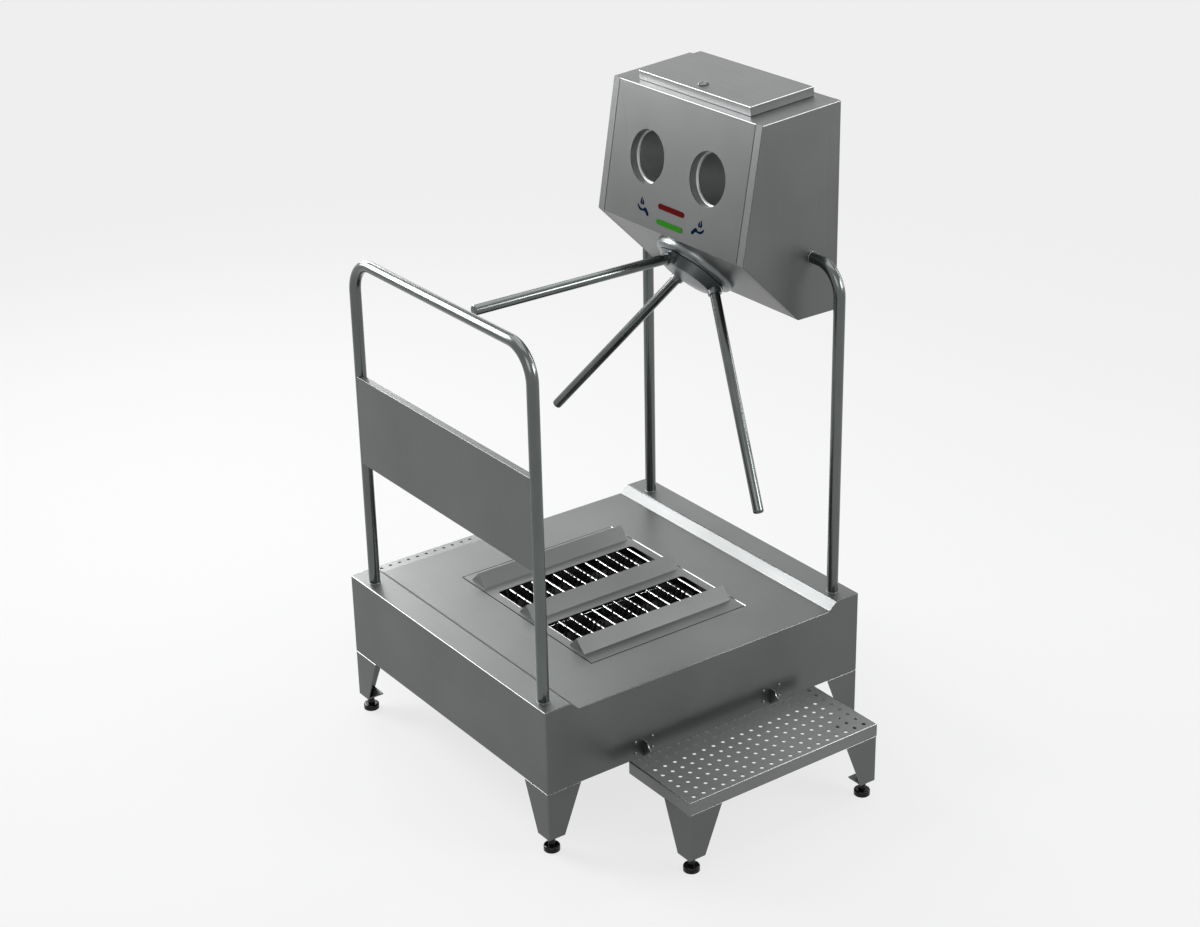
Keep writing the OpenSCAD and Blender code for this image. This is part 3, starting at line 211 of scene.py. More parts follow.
SHEET = (0.118, 0.121, 0.121)
STEP_SHEET = (0.17, 0.173, 0.173)
HEAD_SHEET = (0.104, 0.106, 0.106)
# The skirt's grey is far paler than the sheet: a painted reflection of the lamps on the lid's front
# faces.
SKIRT_PAINTED_REFLECTION = (0.26, 0.265, 0.265)
RUBBED_SHEET = (0.125, 0.128, 0.128)
sheet_y = satin("sheet_ground_lengthways", SHEET, 0.42, ALONG_Y)
sheet_x = satin("sheet_ground_across", STEP_SHEET, 0.4, ALONG_X)
sheet_z = satin("sheet_ground_upright", SHEET, 0.4, ALONG_Z)
sheet_ridge = satin("sheet_ground_ridges", SHEET, 0.4, ALONG_X)
sheet_head = satin("sheet_ground_head", HEAD_SHEET, 0.36, ONLY_OVER_Y)
skirt_painted_reflection = satin("sheet_skirt_painted_reflection", SKIRT_PAINTED_REFLECTION, 0.3, ONLY_OVER_Y)
fold_shine = satin("sheet_rubbed_fold", RUBBED_SHEET, 0.24, EVERY_WAY)
print("sheet finishes:", [m.name for m in bpy.data.materials if m.name.startswith("sheet_")])

# %% [markdown]
# ## Polished tube and turned metal
# The tubes look darker than the sheet because they are polished: they mirror the room in narrow
# streaks. A plain low roughness would do for that, but hands and cloths leave faint long smears
# on real tubes, so a coarse noise moves the roughness and the colour a little. The lock is
# nearly a mirror, the hub and its flange are turned, and the pots behind the hand holes are the
# palest metal on the machine.

# %% Metal finishes
WIPE_FINENESS = (30, 30, 8)
WIPE_DETAIL = 3.0
WIPE_SHADE = 0.07


def polished(name, colour, rough, smear=0.05):
    material, shader = new_material(name, colour, rough, metal=1.0)
    wipe = add_noise(material, WIPE_FINENESS, WIPE_DETAIL, "wipe marks")
    vary_roughness(material, shader, wipe, rough, smear)
    vary_colour(material, shader, wipe, colour, WIPE_SHADE, WIPE_SHADE)
    return material


tube = polished("polished_tube", (0.115, 0.128, 0.125), 0.2, 0.015)
chrome = polished("dark_chrome", (0.1, 0.105, 0.105), 0.1, 0.02)
bright = polished("bright_metal", (0.3, 0.315, 0.32), 0.2, 0.04)
turned_steel = polished("turned_steel", (0.16, 0.172, 0.175), 0.3, 0.02)
pot_steel = polished("light_pot_steel", (0.5, 0.505, 0.505), 0.45)
rod_metal = polished("grille_rod_metal", (0.4, 0.405, 0.405), 0.25, 0.02)
turned = polished("turned_aluminium", (0.5, 0.51, 0.52), 0.35)
weld = polished("ground_weld", (0.16, 0.17, 0.17), 0.4)
print("metal finishes:", tube.name, chrome.name, bright.name, turned_steel.name, weld.name)

# %% [markdown]
# ## Plastics, paint, print and lit lenses
# Feet, rollers, covers and the printed signs aren't metal. A moulding or a coat of paint has a
# grain of about a millimetre that breaks up its gloss, so one noise gives both the faint mottling
# and the height. The two lenses have fine upright ribs, and they glow a little, as signal lamps
# do. A real lamp behind clear plastic would be another way, but a weak glow of the lens's own
# colour looks the same from outside and leaves the other light alone.

# %% Plastic, paint and lens finishes
MOULD_FINENESS = (900, 900, 900)
MOULD_DETAIL = 2.0
MOULD_DEPTH = 0.15 * MM
MOULD_STRENGTH = 0.4
SMOOTH_DEPTH = 0.02 * MM
TUFT_DEPTH = 0.05 * MM
MOTTLE = 0.15
LENS_ROUGH = 0.4
RIB_FINENESS = (60, 900, 60)
RIB_DETAIL = 1.0
RIB_DEPTH = 0.3 * MM
RIB_STRENGTH = 0.3
RIB_SHADE = 0.1


def moulded(name, colour, rough, depth=MOULD_DEPTH, gloss=0.5):
    material, shader = new_material(name, colour, rough)
    shader.inputs["Specular IOR Level"].default_value = gloss
    grain = add_noise(material, MOULD_FINENESS, MOULD_DETAIL, "moulded grain")
    vary_colour(material, shader, grain, colour, MOTTLE, MOTTLE)
    add_bump(material, shader, grain, depth, MOULD_STRENGTH)
    return material


def lens(name, colour, glow):
    material, shader = new_material(name, colour, LENS_ROUGH)
    shader.inputs["Specular IOR Level"].default_value = 0.0
    ribs = add_noise(material, RIB_FINENESS, RIB_DETAIL, "lens ribs")
    add_bump(material, shader, ribs, RIB_DEPTH, RIB_STRENGTH)
    vary_colour(material, shader, ribs, colour, MOTTLE, RIB_SHADE)
    shader.inputs["Emission Color"].default_value = (*colour, 1)
    shader.inputs["Emission Strength"].default_value = glow
    return material


black_gloss = moulded("black_gloss_foot", (0.003, 0.003, 0.003), 0.12, SMOOTH_DEPTH, 0.2)
black_matt = moulded("black_plastic", (0.012, 0.012, 0.012), 0.55, gloss=0.3)
nylon = moulded("black_nylon", (0.003, 0.003, 0.003), 0.6, TUFT_DEPTH, 0.1)
navy = moulded("navy_print", (0.002, 0.007, 0.02), 0.6, SMOOTH_DEPTH, 0.0)
rubber = moulded("belt_rubber", (0.02, 0.02, 0.02), 0.7)
motor_paint = moulded("motor_paint", (0.06, 0.11, 0.16), 0.45)
dark_paint = moulded("dark_paint", (0.03, 0.033, 0.036), 0.5)
box_paint = moulded("box_paint", (0.5, 0.52, 0.51), 0.45)
milky = moulded("milky_plastic", (0.62, 0.66, 0.68), 0.4)
cap_blue = moulded("cap_blue", (0.02, 0.06, 0.25), 0.4)
red_glow = lens("red_lens_plastic", (0.05, 0.004, 0.004), 0.35)
green_glow = lens("green_lens_plastic", (0.016, 0.095, 0.009), 0.45)
print("materials so far:", len(bpy.data.materials))

# %% [markdown]
# ## A finish for every node
# Each imported node keeps its shape and gets the finish of the real piece. A loop over all the meshes
# could guess a finish from each node's record, but a given list says what every piece is made of. The
# grain follows the way the sheet was cut: along the walk on the casing, its cover and the lid, across it
# on the treads and the ridges, and upright on the legs, the rail's panel and the head's sides and front.

# %% Finish the imported nodes
FINISHES = {
    sheet_y: "tub_casing cover_rim brush_basin drain_spout tank_shelf deck_cover lid",
    sheet_x: "entry_step exit_step step_brackets",
    sheet_ridge: "foot_ridges",
    sheet_z: "platform_legs step_legs handrail_panel cheek_front cheek_back bearing_housing index_disc",
    sheet_head: "head_shell front_panel",
    pot_steel: "hand_pot_front hand_pot_back",
    turned_steel: "hub_flange rotor_hub",
    tube: "handrail_tube head_post_front head_post_back rotor_arm_1 rotor_arm_2 rotor_arm_3",
    chrome: "lid_lock",
    bright: "brush_bearings spray_bar spray_nozzles shaft_bearings lid_hinge rotor_shaft lock_bolt",
    rod_metal: "grille_rods_front grille_rods_back",
    turned: "brush_body_front brush_body_back brush_pulley_front brush_pulley_back motor_pulley",
    black_matt: "cable_gland brush_bristles_front brush_bristles_back",
    black_gloss: "platform_feet step_feet",
    rubber: "drive_belt",
    motor_paint: "gear_motor",
    dark_paint: "dosing_pump lock_solenoid rotary_damper",
    box_paint: "control_box",
    milky: "reservoir",
    cap_blue: "tank_cap",
    red_glow: "red_lens",
    green_glow: "green_lens",
}

finish_of = {name: material for material, names in FINISHES.items() for name in names.split()}
for name, material in finish_of.items():
    slots = nodes[name].data.materials
    slots.clear()
    slots.append(material)
print("finished nodes:", len(finish_of), "without a finish:", sorted(set(nodes) - set(finish_of)))

# %% [markdown]
# ## Building pieces
# A new piece is modelled in a bmesh, in metres, where it belongs on the machine, so its object
# stays at the origin. Modelling it at the origin and moving the object afterwards would look the
# same, but a pattern on Object coordinates would then no longer fit its neighbours. The first
# helper turns the bmesh into an object, gives it a finish, and lets it ride on the body that
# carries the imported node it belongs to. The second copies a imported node, which is made of loose
# triangles: it merges their corners and joins the flat faces again, so that only real edges stay.

# %% Piece helpers
bodies = frame["record"]["behaviour"]["bodies"]
body_of_node = {name: body for body, names in bodies.items() for name in names}
MERGE = 0.001 * MM
FLAT = radians(0.5)


def add_piece(name, bm, like, finish, smooth=False, replaces=()):
    mesh = bpy.data.meshes.new(name)
    bm.to_mesh(mesh)
    bm.free()
    for polygon in mesh.polygons:
        polygon.use_smooth = smooth
    mesh.materials.append(finish)
    piece = bpy.data.objects.new(name, mesh)
    bpy.context.scene.collection.objects.link(piece)
    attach(piece, body_of_node[like])
    if replaces:
        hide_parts(*replaces)
    return piece


def copied(node):
    bm = bmesh.new()
    bm.from_mesh(nodes[node].data)
    bmesh.ops.remove_doubles(bm, verts=bm.verts, dist=MERGE)
    bmesh.ops.dissolve_limit(bm, angle_limit=FLAT, use_dissolve_boundaries=False,
                             verts=bm.verts, edges=bm.edges, delimit={"NORMAL"})
    return bm


# %% [markdown]
# ## Which edges are folds
# A fold in sheet metal is never a knife edge. The small radius mirrors the lamps as a thin pale
# line, and those lines draw the whole machine in the photograph. A bevel modifier would ease
# every sharp edge alike, also those of the holes and of the sheet's thin ends, so the edges are
# chosen here one by one: a fold is an outer edge between two large faces, and at least twenty
# times as long as it is wide. Two thin ends draw a pale line too and are added: the deck's rim
# round the cover, and the upper edge of the head's front.

# %% Find the folds
FOLD_ANGLE = radians(20)
LARGE_FACE = 60 * MM * 60 * MM
FOLD_SLENDER = 20
CUT_LENGTH = 100 * MM
SEARCH_ROOM = 0.3 * MM
RIM_REACH = Vector((8 * MM, 8 * MM, 0))


def find_folds(bm, width):
    folds = []
    for edge in bm.edges:
        bent = edge.is_manifold and edge.is_convex and edge.calc_face_angle() > FOLD_ANGLE
        if bent and edge.calc_length() > FOLD_SLENDER * width:
            if min(face.calc_area() for face in edge.link_faces) > LARGE_FACE:
                folds.append(edge)
    return folds


def edges_within(bm, low, high):
    found = []
    for edge in bm.edges:
        ends = [v.co for v in edge.verts]
        inside = all(low[i] - SEARCH_ROOM < p[i] < high[i] + SEARCH_ROOM for p in ends for i in range(3))
        if inside and edge.is_manifold and edge.is_convex and edge.calc_length() > CUT_LENGTH:
            found.append(edge)
    return found


def find_thin_ends(node, bm):
    low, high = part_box(node)
    if node == "tub_casing":
        cover_low, cover_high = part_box("deck_cover")
        rim_low = Vector((*cover_low.xy, cover_high.z)) - RIM_REACH
        return edges_within(bm, rim_low, cover_high + RIM_REACH)
    if node == "front_panel":
        outer = min(v.co.x for v in bm.verts if v.co.z > high.z - SEARCH_ROOM)
        return edges_within(bm, Vector((outer, low.y, high.z)), Vector((outer, high.y, high.z)))
    return []


print("a fold lies between faces over", round(LARGE_FACE * 1e4), "square centimetres")

# %% [markdown]
# ## Folds that catch the light
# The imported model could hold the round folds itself, but they would only slow down its checks,
# and nobody feels them in a simulation. So the chosen edges get their bevel here, as wide as the
# fold's radius. The bevel's own faces take the piece's second finish, which is shinier, because
# folds are rubbed bright in use. The pale lines are broader on the platform and the steps than
# on the head, so the folds there are wider and have one more step in their curve.

# %% Ease the folds
CASING_FOLD = 2.8 * MM
HEAD_FOLD = 1.3 * MM
CUT_EASE = 1.8 * MM
FOLD_SLOT = 1


def bevel(bm, edges, width, steps):
    bmesh.ops.bevel(bm, geom=edges, offset=width, offset_type="OFFSET", segments=steps, profile=0.5,
                    affect="EDGES", clamp_overlap=True, material=FOLD_SLOT)


def eased(node, width, steps, cut_steps):
    bm = copied(node)
    folds = find_folds(bm, width)
    thin = [edge for edge in find_thin_ends(node, bm) if edge not in folds]
    if thin:
        bevel(bm, thin, CUT_EASE, cut_steps)
        folds = [edge for edge in folds if edge.is_valid]
    bevel(bm, folds, width, steps)
    piece = add_piece(node + "_eased", bm, node, finish_of[node], replaces=(node,))
    piece.data.materials.append(fold_shine)
    print(node, "folds eased:", len(folds), "thin edges:", len(thin), "faces:", len(piece.data.polygons))
    return piece


for node in ("tub_casing", "platform_legs", "entry_step", "exit_step", "step_legs", "handrail_panel"):
    eased(node, CASING_FOLD, 3, 1)
for node in ("head_shell", "cheek_front", "cheek_back"):
    eased(node, HEAD_FOLD, 2, 2)

# %% [markdown]
# ## The head's front and the lid
# The head's front is a panel of its own between the two cheeks, and its seams read as dark lines in the
# photograph. The imported gap is too fine to show, and a dark print would lie on top, so the panel's
# corners along each side are moved in by a little more than a millimetre. The lid's front skirt mirrors
# the lamps brightly, so the faces that look to the front take a third finish, which is polished and much
# paler than the top: a painted reflection of the lamps.

# %% Ease the front and the lid
PANEL_FOLD = 2.2 * MM
LID_FOLD = 1.8 * MM
SEAM = 1.4 * MM
SIDE_ROOM = 0.1 * MM
FACING_FRONT = -0.95
PAINTED_REFLECTION_SLOT = 2

panel = eased("front_panel", PANEL_FOLD, 2, 2)
panel_low, panel_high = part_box("front_panel")
bm = bmesh.new()
bm.from_mesh(panel.data)
low_side = [v for v in bm.verts if v.co.y < panel_low.y + SIDE_ROOM]
high_side = [v for v in bm.verts if v.co.y > panel_high.y - SIDE_ROOM]
bmesh.ops.translate(bm, vec=(0, SEAM, 0), verts=low_side)
bmesh.ops.translate(bm, vec=(0, -SEAM, 0), verts=high_side)
bm.to_mesh(panel.data)
bm.free()
print("corners moved in:", len(low_side), "and", len(high_side))

lid = eased("lid", LID_FOLD, 2, 2)
# The faces that look to the front get the skirt's pale grey, a painted reflection of the lamps, on top of
# a smoother polish.
lid.data.materials.append(skirt_painted_reflection)
for polygon in lid.data.polygons:
    if polygon.normal.x < FACING_FRONT:
        polygon.material_index = PAINTED_REFLECTION_SLOT
print("skirt faces:", sum(p.material_index == PAINTED_REFLECTION_SLOT for p in lid.data.polygons))

# %% [markdown]
# ## Tubes shaded smooth
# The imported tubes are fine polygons, and a polished polygon breaks a streak of light into
# steps. More polygons would help a little. A merged copy that is shaded smooth wherever two
# faces meet at a small angle helps fully, and real edges, such as tube ends, stay crisp.

# %% Shade the tubes
SMOOTH_BELOW = radians(35)


def rounded(node):
    piece = add_piece(node + "_rounded", copied(node), node, tube, smooth=True, replaces=(node,))
    piece.data.set_sharp_from_angle(angle=SMOOTH_BELOW)
    return piece


round_pieces = [rounded(node) for node in FINISHES[tube].split()]
print("shaded smooth:", len(round_pieces))

# %% [markdown]
# ## Weld beads
# The posts are welded to the ledges and to the cheeks. A ground weld leaves a soft fillet
# between tube and sheet, and without it a tube looks as if it were only standing there. A torus
# would do, but bmesh has no operator for it, so one small circle is spun once round the tube.
# The same bead serves for the six joints of the posts and, nearly twice as thick, for the lips
# of the hand holes.

# %% A bead and the six welds
TUBE_R = 15 * MM
BEAD = 1.2 * MM
BEAD_OUT = 0.6 * MM
BEAD_SIDES = 10
RING_STEPS = 48


def spun_bead(centre, axis, ring_r, bead_r):
    turn = Vector((0, 0, 1)).rotation_difference(Vector(axis)).to_matrix().to_4x4()
    upright = Matrix.Translation((ring_r, 0, 0)) @ Matrix.Rotation(pi / 2, 4, "X")
    bm = bmesh.new()
    circle = bmesh.ops.create_circle(bm, segments=BEAD_SIDES, radius=bead_r,
                                     matrix=Matrix.Translation(centre) @ turn @ upright)
    edges = list({edge for vertex in circle["verts"] for edge in vertex.link_edges})
    bmesh.ops.spin(bm, geom=circle["verts"] + edges, cent=centre, axis=axis,
                   angle=2 * pi, steps=RING_STEPS, use_merge=True)
    bmesh.ops.remove_doubles(bm, verts=bm.verts, dist=MERGE)
    bmesh.ops.recalc_face_normals(bm, faces=bm.faces)
    return bm


def add_weld(name, centre, axis):
    ring = spun_bead(centre, axis, TUBE_R + BEAD_OUT, BEAD)
    add_piece("weld_" + name, ring, "tub_casing", weld, smooth=True)


rail_low, rail_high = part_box("handrail_tube")
rail_x = rail_low.x + TUBE_R
add_weld("rail_post_front", (rail_x, rail_low.y + TUBE_R, rail_low.z), (0, 0, 1))
add_weld("rail_post_back", (rail_x, rail_high.y - TUBE_R, rail_low.z), (0, 0, 1))
for side, end, inward in (("front", 0, 1), ("back", 1, -1)):
    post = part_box("head_post_" + side)
    foot = (post[0].x + TUBE_R, post[end].y + inward * TUBE_R, post[0].z)
    add_weld("head_post_foot_" + side, foot, (0, 0, 1))
for side, end in (("front", 0), ("back", 1)):
    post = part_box("head_post_" + side)
    joint = (post[0].x + TUBE_R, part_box("cheek_" + side)[end].y, post[1].z - TUBE_R)
    add_weld("cheek_" + side, joint, (0, 1, 0))

# %% [markdown]
# ## Rolled lips in the hand holes
# Hands go in past a rolled lip, and its bright curl is what shows in the dark holes. The holes
# lie in the leaning front face. Each piece on it could be turned by eye, but it is safer to work
# out the face's own frame once: X runs up the face, Y across it, and Z out of it. The signs use
# the same frame.

# %% The front face's frame and the lips
FACE_LEAN = 59 * MM
FACE_RISE = 345 * MM
PORT_UP = 178 * MM
PORT_SPACING = 246 * MM
PORT_R = 70 * MM
LIP_DEPTH = 27 * MM
LIP_R = 2.2 * MM
face_middle = (panel_low.y + panel_high.y) / 2
face_frame = (Matrix.Translation((panel_low.x, face_middle, panel_low.z))
              @ Matrix.Rotation(atan2(FACE_LEAN, FACE_RISE) - pi / 2, 4, "Y"))
face_out = (face_frame.to_3x3() @ Vector((0, 0, 1))).normalized()

for side, name in ((-1, "front"), (1, "back")):
    middle = face_frame @ Vector((PORT_UP, side * PORT_SPACING / 2, -LIP_DEPTH))
    lip = spun_bead(middle, face_out, PORT_R - LIP_R, LIP_R)
    add_piece("port_lip_" + name, lip, "hand_pot_" + name, bright, smooth=True)
print("lips at depth", LIP_DEPTH)

# %% [markdown]
# ## Printed signs
# Below the holes two small prints show a cupped hand under a drop, one the mirror image of the
# other. A picture on the face would need an image file. Each sign is a flat shape with a few
# curved outlines, so it is drawn as a curve, made a mesh, and laid on the face as a film a third
# of a millimetre thick. The points are in millimetres: outwards from the sign's inner end, and
# up.

# %% Signs
HAND = [(-2, 1), (4, 9), (11, 15.5), (17, 16.5), (21, 13), (25, 11), (31, 11.5), (38, 14.5), (47, 19),
        (44, 12), (38, 7), (30, 5), (22, 6), (14, 5.5), (6, -1.5), (1, -3)]
DROP = [(31, 40), (36, 33), (37.5, 27), (35, 22.5), (30.5, 21.5), (30, 26), (31.5, 32)]
LEAF = [(28, 35), (23, 30), (21.5, 25), (24, 21.5), (28, 21.5), (28.6, 26), (28.4, 31)]
SIGN_OUT = 90
SIGN_UP = 33
FILM_HALF = 0.15 * MM
FILM_LIFT = 0.17 * MM
CURVE_STEPS = 6
FINE_MERGE = 0.0001 * MM


def outline(curve, points):
    spline = curve.splines.new("BEZIER")
    spline.bezier_points.add(len(points) - 1)
    spline.use_cyclic_u = True
    for knot, (out, up) in zip(spline.bezier_points, points):
        knot.co = ((SIGN_UP + up) * MM, (SIGN_OUT + out) * MM, 0)
        knot.handle_left_type = knot.handle_right_type = "AUTO"


def add_sign(name, side):
    curve = bpy.data.curves.new(name, "CURVE")
    curve.dimensions = "2D"
    curve.fill_mode = "BOTH"
    curve.extrude = FILM_HALF
    curve.resolution_u = CURVE_STEPS
    for points in (HAND, DROP, LEAF):
        outline(curve, points)
    drawing = bpy.data.objects.new(name + "_drawing", curve)
    bpy.context.scene.collection.objects.link(drawing)
    drawn = drawing.evaluated_get(bpy.context.evaluated_depsgraph_get())
    mesh = bpy.data.meshes.new_from_object(drawn)
    bm = bmesh.new()
    bm.from_mesh(mesh)
    bpy.data.objects.remove(drawing)
    bpy.data.curves.remove(curve)
    bpy.data.meshes.remove(mesh)
    bmesh.ops.transform(bm, matrix=face_frame @ Matrix.Diagonal((1, side, 1, 1)), verts=bm.verts)
    bmesh.ops.translate(bm, vec=face_out * FILM_LIFT, verts=bm.verts)
    bmesh.ops.remove_doubles(bm, verts=bm.verts, dist=FINE_MERGE)
    bmesh.ops.recalc_face_normals(bm, faces=bm.faces)
    add_piece(name, bm, "front_panel", navy)


add_sign("sign_front", -1)
add_sign("sign_back", 1)

# %% [markdown]
# ## Brushes
# Each brush is a roller with rings of nylon tufts, three rings to a gap between two rods. In two
# gaps of every four the tufts are long, so their dark tips break up the rods in bands. In one
# more they are long but few, and in the last they end below the rods. Hair could grow the
# strands, but the export needs plain meshes, and a strand this thick has a shape. So a tuft is a
# handful of thin cones, and one spin with duplicates makes a ring of it. Each strand leans its
# own way, by two waves that run on from strand to strand and from ring to ring, so the brush
# looks the same each time without being regular. Spin looks through the whole bmesh each time,
# so every ring is made in a small bmesh of its own, which keeps thousands of strands quick.

# %% A strand and a ring of tufts
CORE_R = 72 * MM
ROOT_R = CORE_R - 2 * MM
STRAND_R = 1.3 * MM
STRAND_TAPER = 0.6
STRAND_SIDES = 3
STRANDS = 5
TUFT_SPREAD = 1.1 * MM
TIP_UNEVEN = 2 * MM
TUFT_TURN = radians(0.8)
TUFT_LEAN = radians(1.2)
TUFT_SLANT = radians(3.0)
WOBBLE_OF_RING = 7.3
WOBBLE_OF_STRAND = 2.9
SWAY_OF_RING = 5.1
SWAY_OF_STRAND = 4.7


def add_strand(bm, axis_at, x, tip, turn, lean, slant):
    length = tip - ROOT_R
    place = (Matrix.Translation((x, axis_at.y, axis_at.z)) @ Matrix.Rotation(turn, 4, "X")
             @ Matrix.Translation((0, 0, ROOT_R)) @ Matrix.Rotation(lean, 4, "Y")
             @ Matrix.Rotation(slant, 4, "X") @ Matrix.Translation((0, 0, length / 2)))
    bmesh.ops.create_cone(bm, cap_ends=True, segments=STRAND_SIDES, radius1=STRAND_R,
                          radius2=STRAND_R * STRAND_TAPER, depth=length, matrix=place)


def add_ring(bm, axis_at, x, tip, tufts, phase):
    ring = bmesh.new()
    for strand in range(STRANDS):
        wobble = sin(WOBBLE_OF_RING * phase + WOBBLE_OF_STRAND * strand)
        sway = cos(SWAY_OF_RING * phase + SWAY_OF_STRAND * strand)
        add_strand(ring, axis_at, x + TUFT_SPREAD * sway, tip - TIP_UNEVEN * abs(wobble),
                   phase + TUFT_TURN * wobble, TUFT_LEAN * sway, TUFT_SLANT * wobble)
    bmesh.ops.spin(ring, geom=ring.verts[:] + ring.edges[:] + ring.faces[:], cent=axis_at, axis=(1, 0, 0),
                   angle=2 * pi * (tufts - 1) / tufts, steps=tufts - 1, use_duplicate=True)
    whole = bpy.data.meshes.new("ring")
    ring.to_mesh(whole)
    ring.free()
    bm.from_mesh(whole)
    bpy.data.meshes.remove(whole)


print("strands to a tuft:", STRANDS, "from radius", round(ROOT_R, 3))

# %% [markdown]
# ## The two rollers
# The rings go round a plain core, at the pitch of the grille rods, in the order few, long, long
# and short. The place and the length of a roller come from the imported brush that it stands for.
# The long strands end a little higher than that one, clear above the rods. One long brush could
# be copied for the other, but the two ride on different bodies and turn on their own axes.

# %% Bristles
ROD_PITCH = 35.5 * MM
ROD_GAPS = 12
ROW_PITCH = 9.5 * MM
TIP_REACH = 10 * MM
SHORT_R = 83 * MM
CORE_SIDES = 48
TURN_OF_GAP = 0.7
TURN_OF_ROW = 0.31
RINGS = (("few", 14), ("long", 34), ("long", 34), ("short", 30))


def add_bristles(side):
    node = "brush_bristles_" + side
    low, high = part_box(node)
    middle = (low + high) / 2
    long_r = (high.z - low.z) / 2 + TIP_REACH
    axis_at = Vector((0, middle.y, middle.z))
    bm = bmesh.new()
    lying = Matrix.Translation(middle) @ Matrix.Rotation(pi / 2, 4, "Y")
    bmesh.ops.create_cone(bm, cap_ends=True, segments=CORE_SIDES, radius1=CORE_R, radius2=CORE_R,
                          depth=high.x - low.x, matrix=lying)
    for gap in range(ROD_GAPS):
        kind, tufts = RINGS[gap % len(RINGS)]
        tip = SHORT_R if kind == "short" else long_r
        for row in (-1, 0, 1):
            x = low.x + (gap + 0.5) * ROD_PITCH + row * ROW_PITCH
            add_ring(bm, axis_at, x, tip, tufts, TURN_OF_GAP * gap + TURN_OF_ROW * row)
    piece = add_piece("bristles_" + side, bm, node, nylon, replaces=(node,))
    print(piece.name, "faces:", len(piece.data.polygons))


add_bristles("front")
add_bristles("back")

# %% [markdown]
# ## Light
# The photograph is lit softly from above. Satin steel shows mostly what it mirrors, so each
# panel stands where one face needs it, and a few large panels do what many small lamps couldn't
# without spots. A ceiling gives the even light and the soft shadow. The strong panel behind on
# the left whitens the slope on the far side of the deck. The three weaker ones behind, in the
# middle, on the right and high on the right, lie where level sheet mirrors them, so the deck,
# the treads and the lid are paler than the walls. The panel in front on the right reaches the
# corner between wall and step, where the two mirror each other. The one in front on the left
# lights the walls that face the camera, and the strip on the right draws a line on the tubes.

# %% Lights
def add_panel(name, place, target, size, power):
    data = bpy.data.lights.new(name, "AREA")
    data.shape = "RECTANGLE"
    data.size, data.size_y = size
    data.energy = power
    panel = bpy.data.objects.new(name, data)
    panel.location = place
    panel.rotation_euler = (Vector(target) - Vector(place)).to_track_quat("-Z", "Y").to_euler()
    bpy.context.scene.collection.objects.link(panel)


MIDDLE = (0, 0, 0.8)
DECK = (0, 0, 0.4)
STEP_CORNER = (0, -0.6, 0.3)
add_panel("ceiling_panel", (0.6, 1.2, 8.0), MIDDLE, (8.0, 8.0), 320)
add_panel("back_left_panel", (-2.45, 4.0, 3.4), MIDDLE, (2.2, 3.6), 430)
add_panel("back_middle_panel", (0.45, 3.8, 2.3), DECK, (1.5, 1.4), 92)
add_panel("back_right_panel", (1.7, 3.4, 2.1), DECK, (2.8, 1.2), 17)
add_panel("upper_right_panel", (2.6, 2.1, 4.7), DECK, (2.0, 1.8), 20)
add_panel("front_right_panel", (2.67, -3.96, 2.78), STEP_CORNER, (2.2, 1.4), 150)
add_panel("front_panel_light", (-3.2, -3.4, 3.6), MIDDLE, (2.6, 2.6), 45)
add_panel("right_strip", (4.0, -1.2, 2.6), MIDDLE, (0.6, 3.0), 50)
print("light panels:", len(bpy.data.lights))

# %% [markdown]
# ## The world
# The machine stands in a plain, pale studio. Brighter light on a backdrop would make it pale
# too, but it would wash out the steel. So the world has two colours. Soft light on matt things
# comes from a weak, slightly cool sky. The camera and every mirror ray see the plain studio grey
# instead, so metal mirrors the backdrop that the eye sees round it.

# %% World
BACKGROUND = (0.863, 0.863, 0.863)
SKY = (0.9, 0.95, 1.0)
SKY_STRENGTH = 0.35


# This is 1 for a ray from the camera, off a mirror or through glass, and 0 for soft light
def ray_share(tree):
    rays = tree.nodes.new("ShaderNodeLightPath")
    seen = tree.nodes.new("ShaderNodeMath")
    seen.operation = "MAXIMUM"
    both = tree.nodes.new("ShaderNodeMath")
    both.operation = "MAXIMUM"
    tree.links.new(rays.outputs["Is Camera Ray"], seen.inputs[0])
    tree.links.new(rays.outputs["Is Glossy Ray"], seen.inputs[1])
    tree.links.new(seen.outputs[0], both.inputs[0])
    tree.links.new(rays.outputs["Is Transmission Ray"], both.inputs[1])
    return both.outputs[0]


def add_world():
    world = bpy.data.worlds.new("plain_studio")
    world.use_nodes = True
    tree = world.node_tree
    soft = tree.nodes["Background"]
    soft.inputs["Color"].default_value = (*SKY, 1)
    soft.inputs["Strength"].default_value = SKY_STRENGTH
    plain = tree.nodes.new("ShaderNodeBackground")
    plain.inputs["Color"].default_value = (*BACKGROUND, 1)
    mix = tree.nodes.new("ShaderNodeMixShader")
    tree.links.new(ray_share(tree), mix.inputs["Fac"])
    tree.links.new(soft.outputs[0], mix.inputs[1])
    tree.links.new(plain.outputs[0], mix.inputs[2])
    tree.links.new(mix.outputs[0], tree.nodes["World Output"].inputs["Surface"])
    bpy.context.scene.world = world


add_world()
print("background grey:", BACKGROUND[0], "sky strength:", SKY_STRENGTH)

# %% [markdown]
# ## The floor
# The floor is one large square without an edge in sight. A floor that is only shaded would end
# in a visible horizon, and one that only glows would show no shadow. This one mixes the two: near
# the machine it keeps a share of real shading, which holds a soft shadow, and it fades to the
# plain studio grey five metres out.

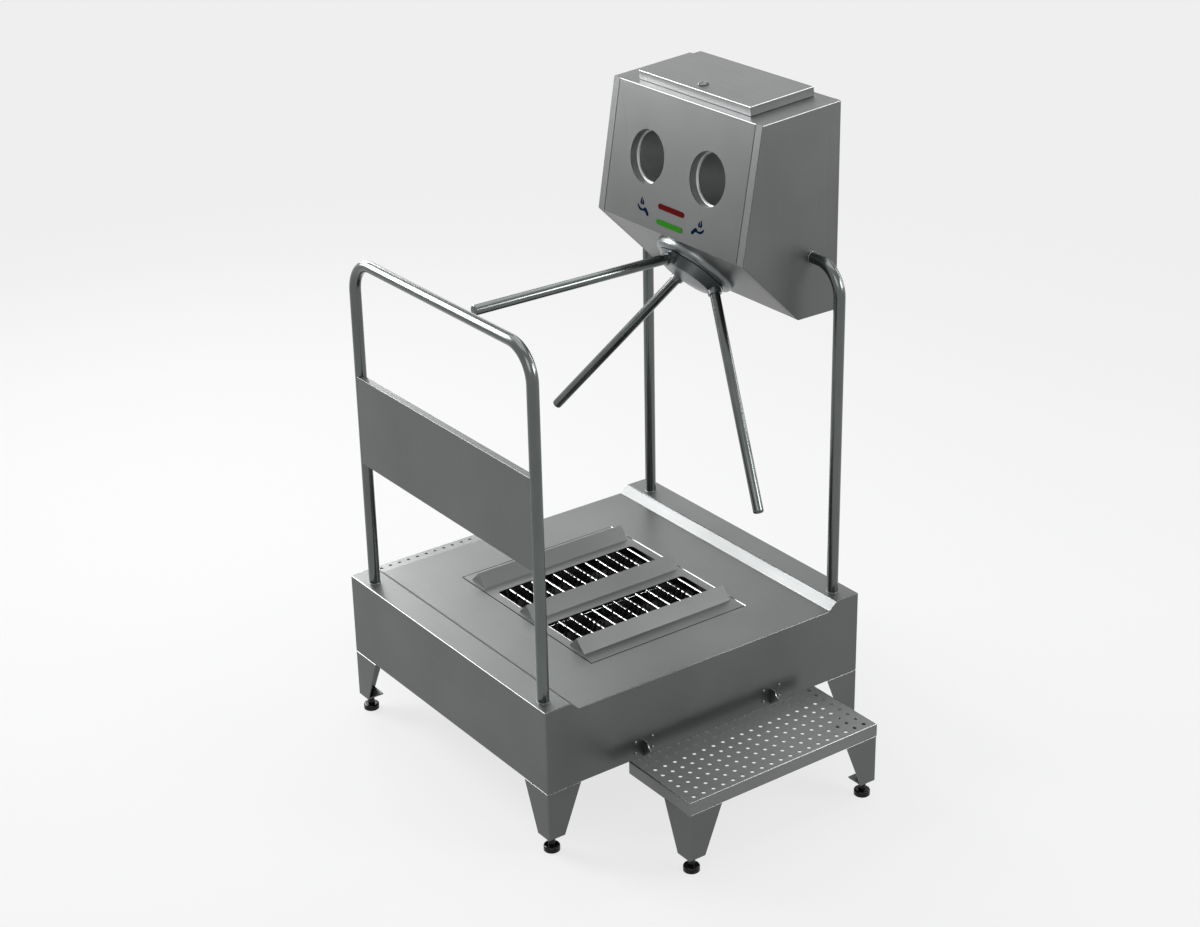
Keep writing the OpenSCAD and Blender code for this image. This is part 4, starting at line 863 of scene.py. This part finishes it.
# %% Floor
FLOOR_GREY = (0.66, 0.66, 0.66)
FADE_FROM = 1.0
FADE_TO = 5.0
GLOW_NEAR = 0.87
FLOOR_HALF = 30


def floor_material():
    material, shader = new_material("pale_floor", FLOOR_GREY, 0.8)
    tree = material.node_tree
    glow = tree.nodes.new("ShaderNodeEmission")
    glow.inputs["Color"].default_value = (*BACKGROUND, 1)
    place = tree.nodes.new("ShaderNodeTexCoord")
    distance = tree.nodes.new("ShaderNodeVectorMath")
    distance.operation = "LENGTH"
    fade = tree.nodes.new("ShaderNodeMapRange")
    fade.inputs["From Min"].default_value = FADE_FROM
    fade.inputs["From Max"].default_value = FADE_TO
    fade.inputs["To Min"].default_value = GLOW_NEAR
    fade.inputs["To Max"].default_value = 1.0
    tree.links.new(place.outputs["Object"], distance.inputs[0])
    tree.links.new(distance.outputs["Value"], fade.inputs["Value"])
    share = tree.nodes.new("ShaderNodeMath")
    share.operation = "MULTIPLY"
    tree.links.new(fade.outputs["Result"], share.inputs[1])
    mix = tree.nodes.new("ShaderNodeMixShader")
    tree.links.new(ray_share(tree), share.inputs[0])
    tree.links.new(share.outputs[0], mix.inputs["Fac"])
    tree.links.new(shader.outputs[0], mix.inputs[1])
    tree.links.new(glow.outputs[0], mix.inputs[2])
    tree.links.new(mix.outputs[0], tree.nodes["Material Output"].inputs["Surface"])
    return material


def add_floor():
    bm = bmesh.new()
    bmesh.ops.create_grid(bm, x_segments=1, y_segments=1, size=FLOOR_HALF)
    mesh = bpy.data.meshes.new("floor")
    bm.to_mesh(mesh)
    bm.free()
    mesh.materials.append(floor_material())
    floor = bpy.data.objects.new("floor", mesh)
    bpy.context.scene.collection.objects.link(floor)


add_floor()
print("floor reaches", FLOOR_HALF, "metres out and fades by", FADE_TO)

# %% [markdown]
# ## View
# A colour should render about as it is written, so the view transform is Standard and nothing else in the
# view is changed.

# %% View
bpy.context.scene.view_settings.view_transform = "Standard"
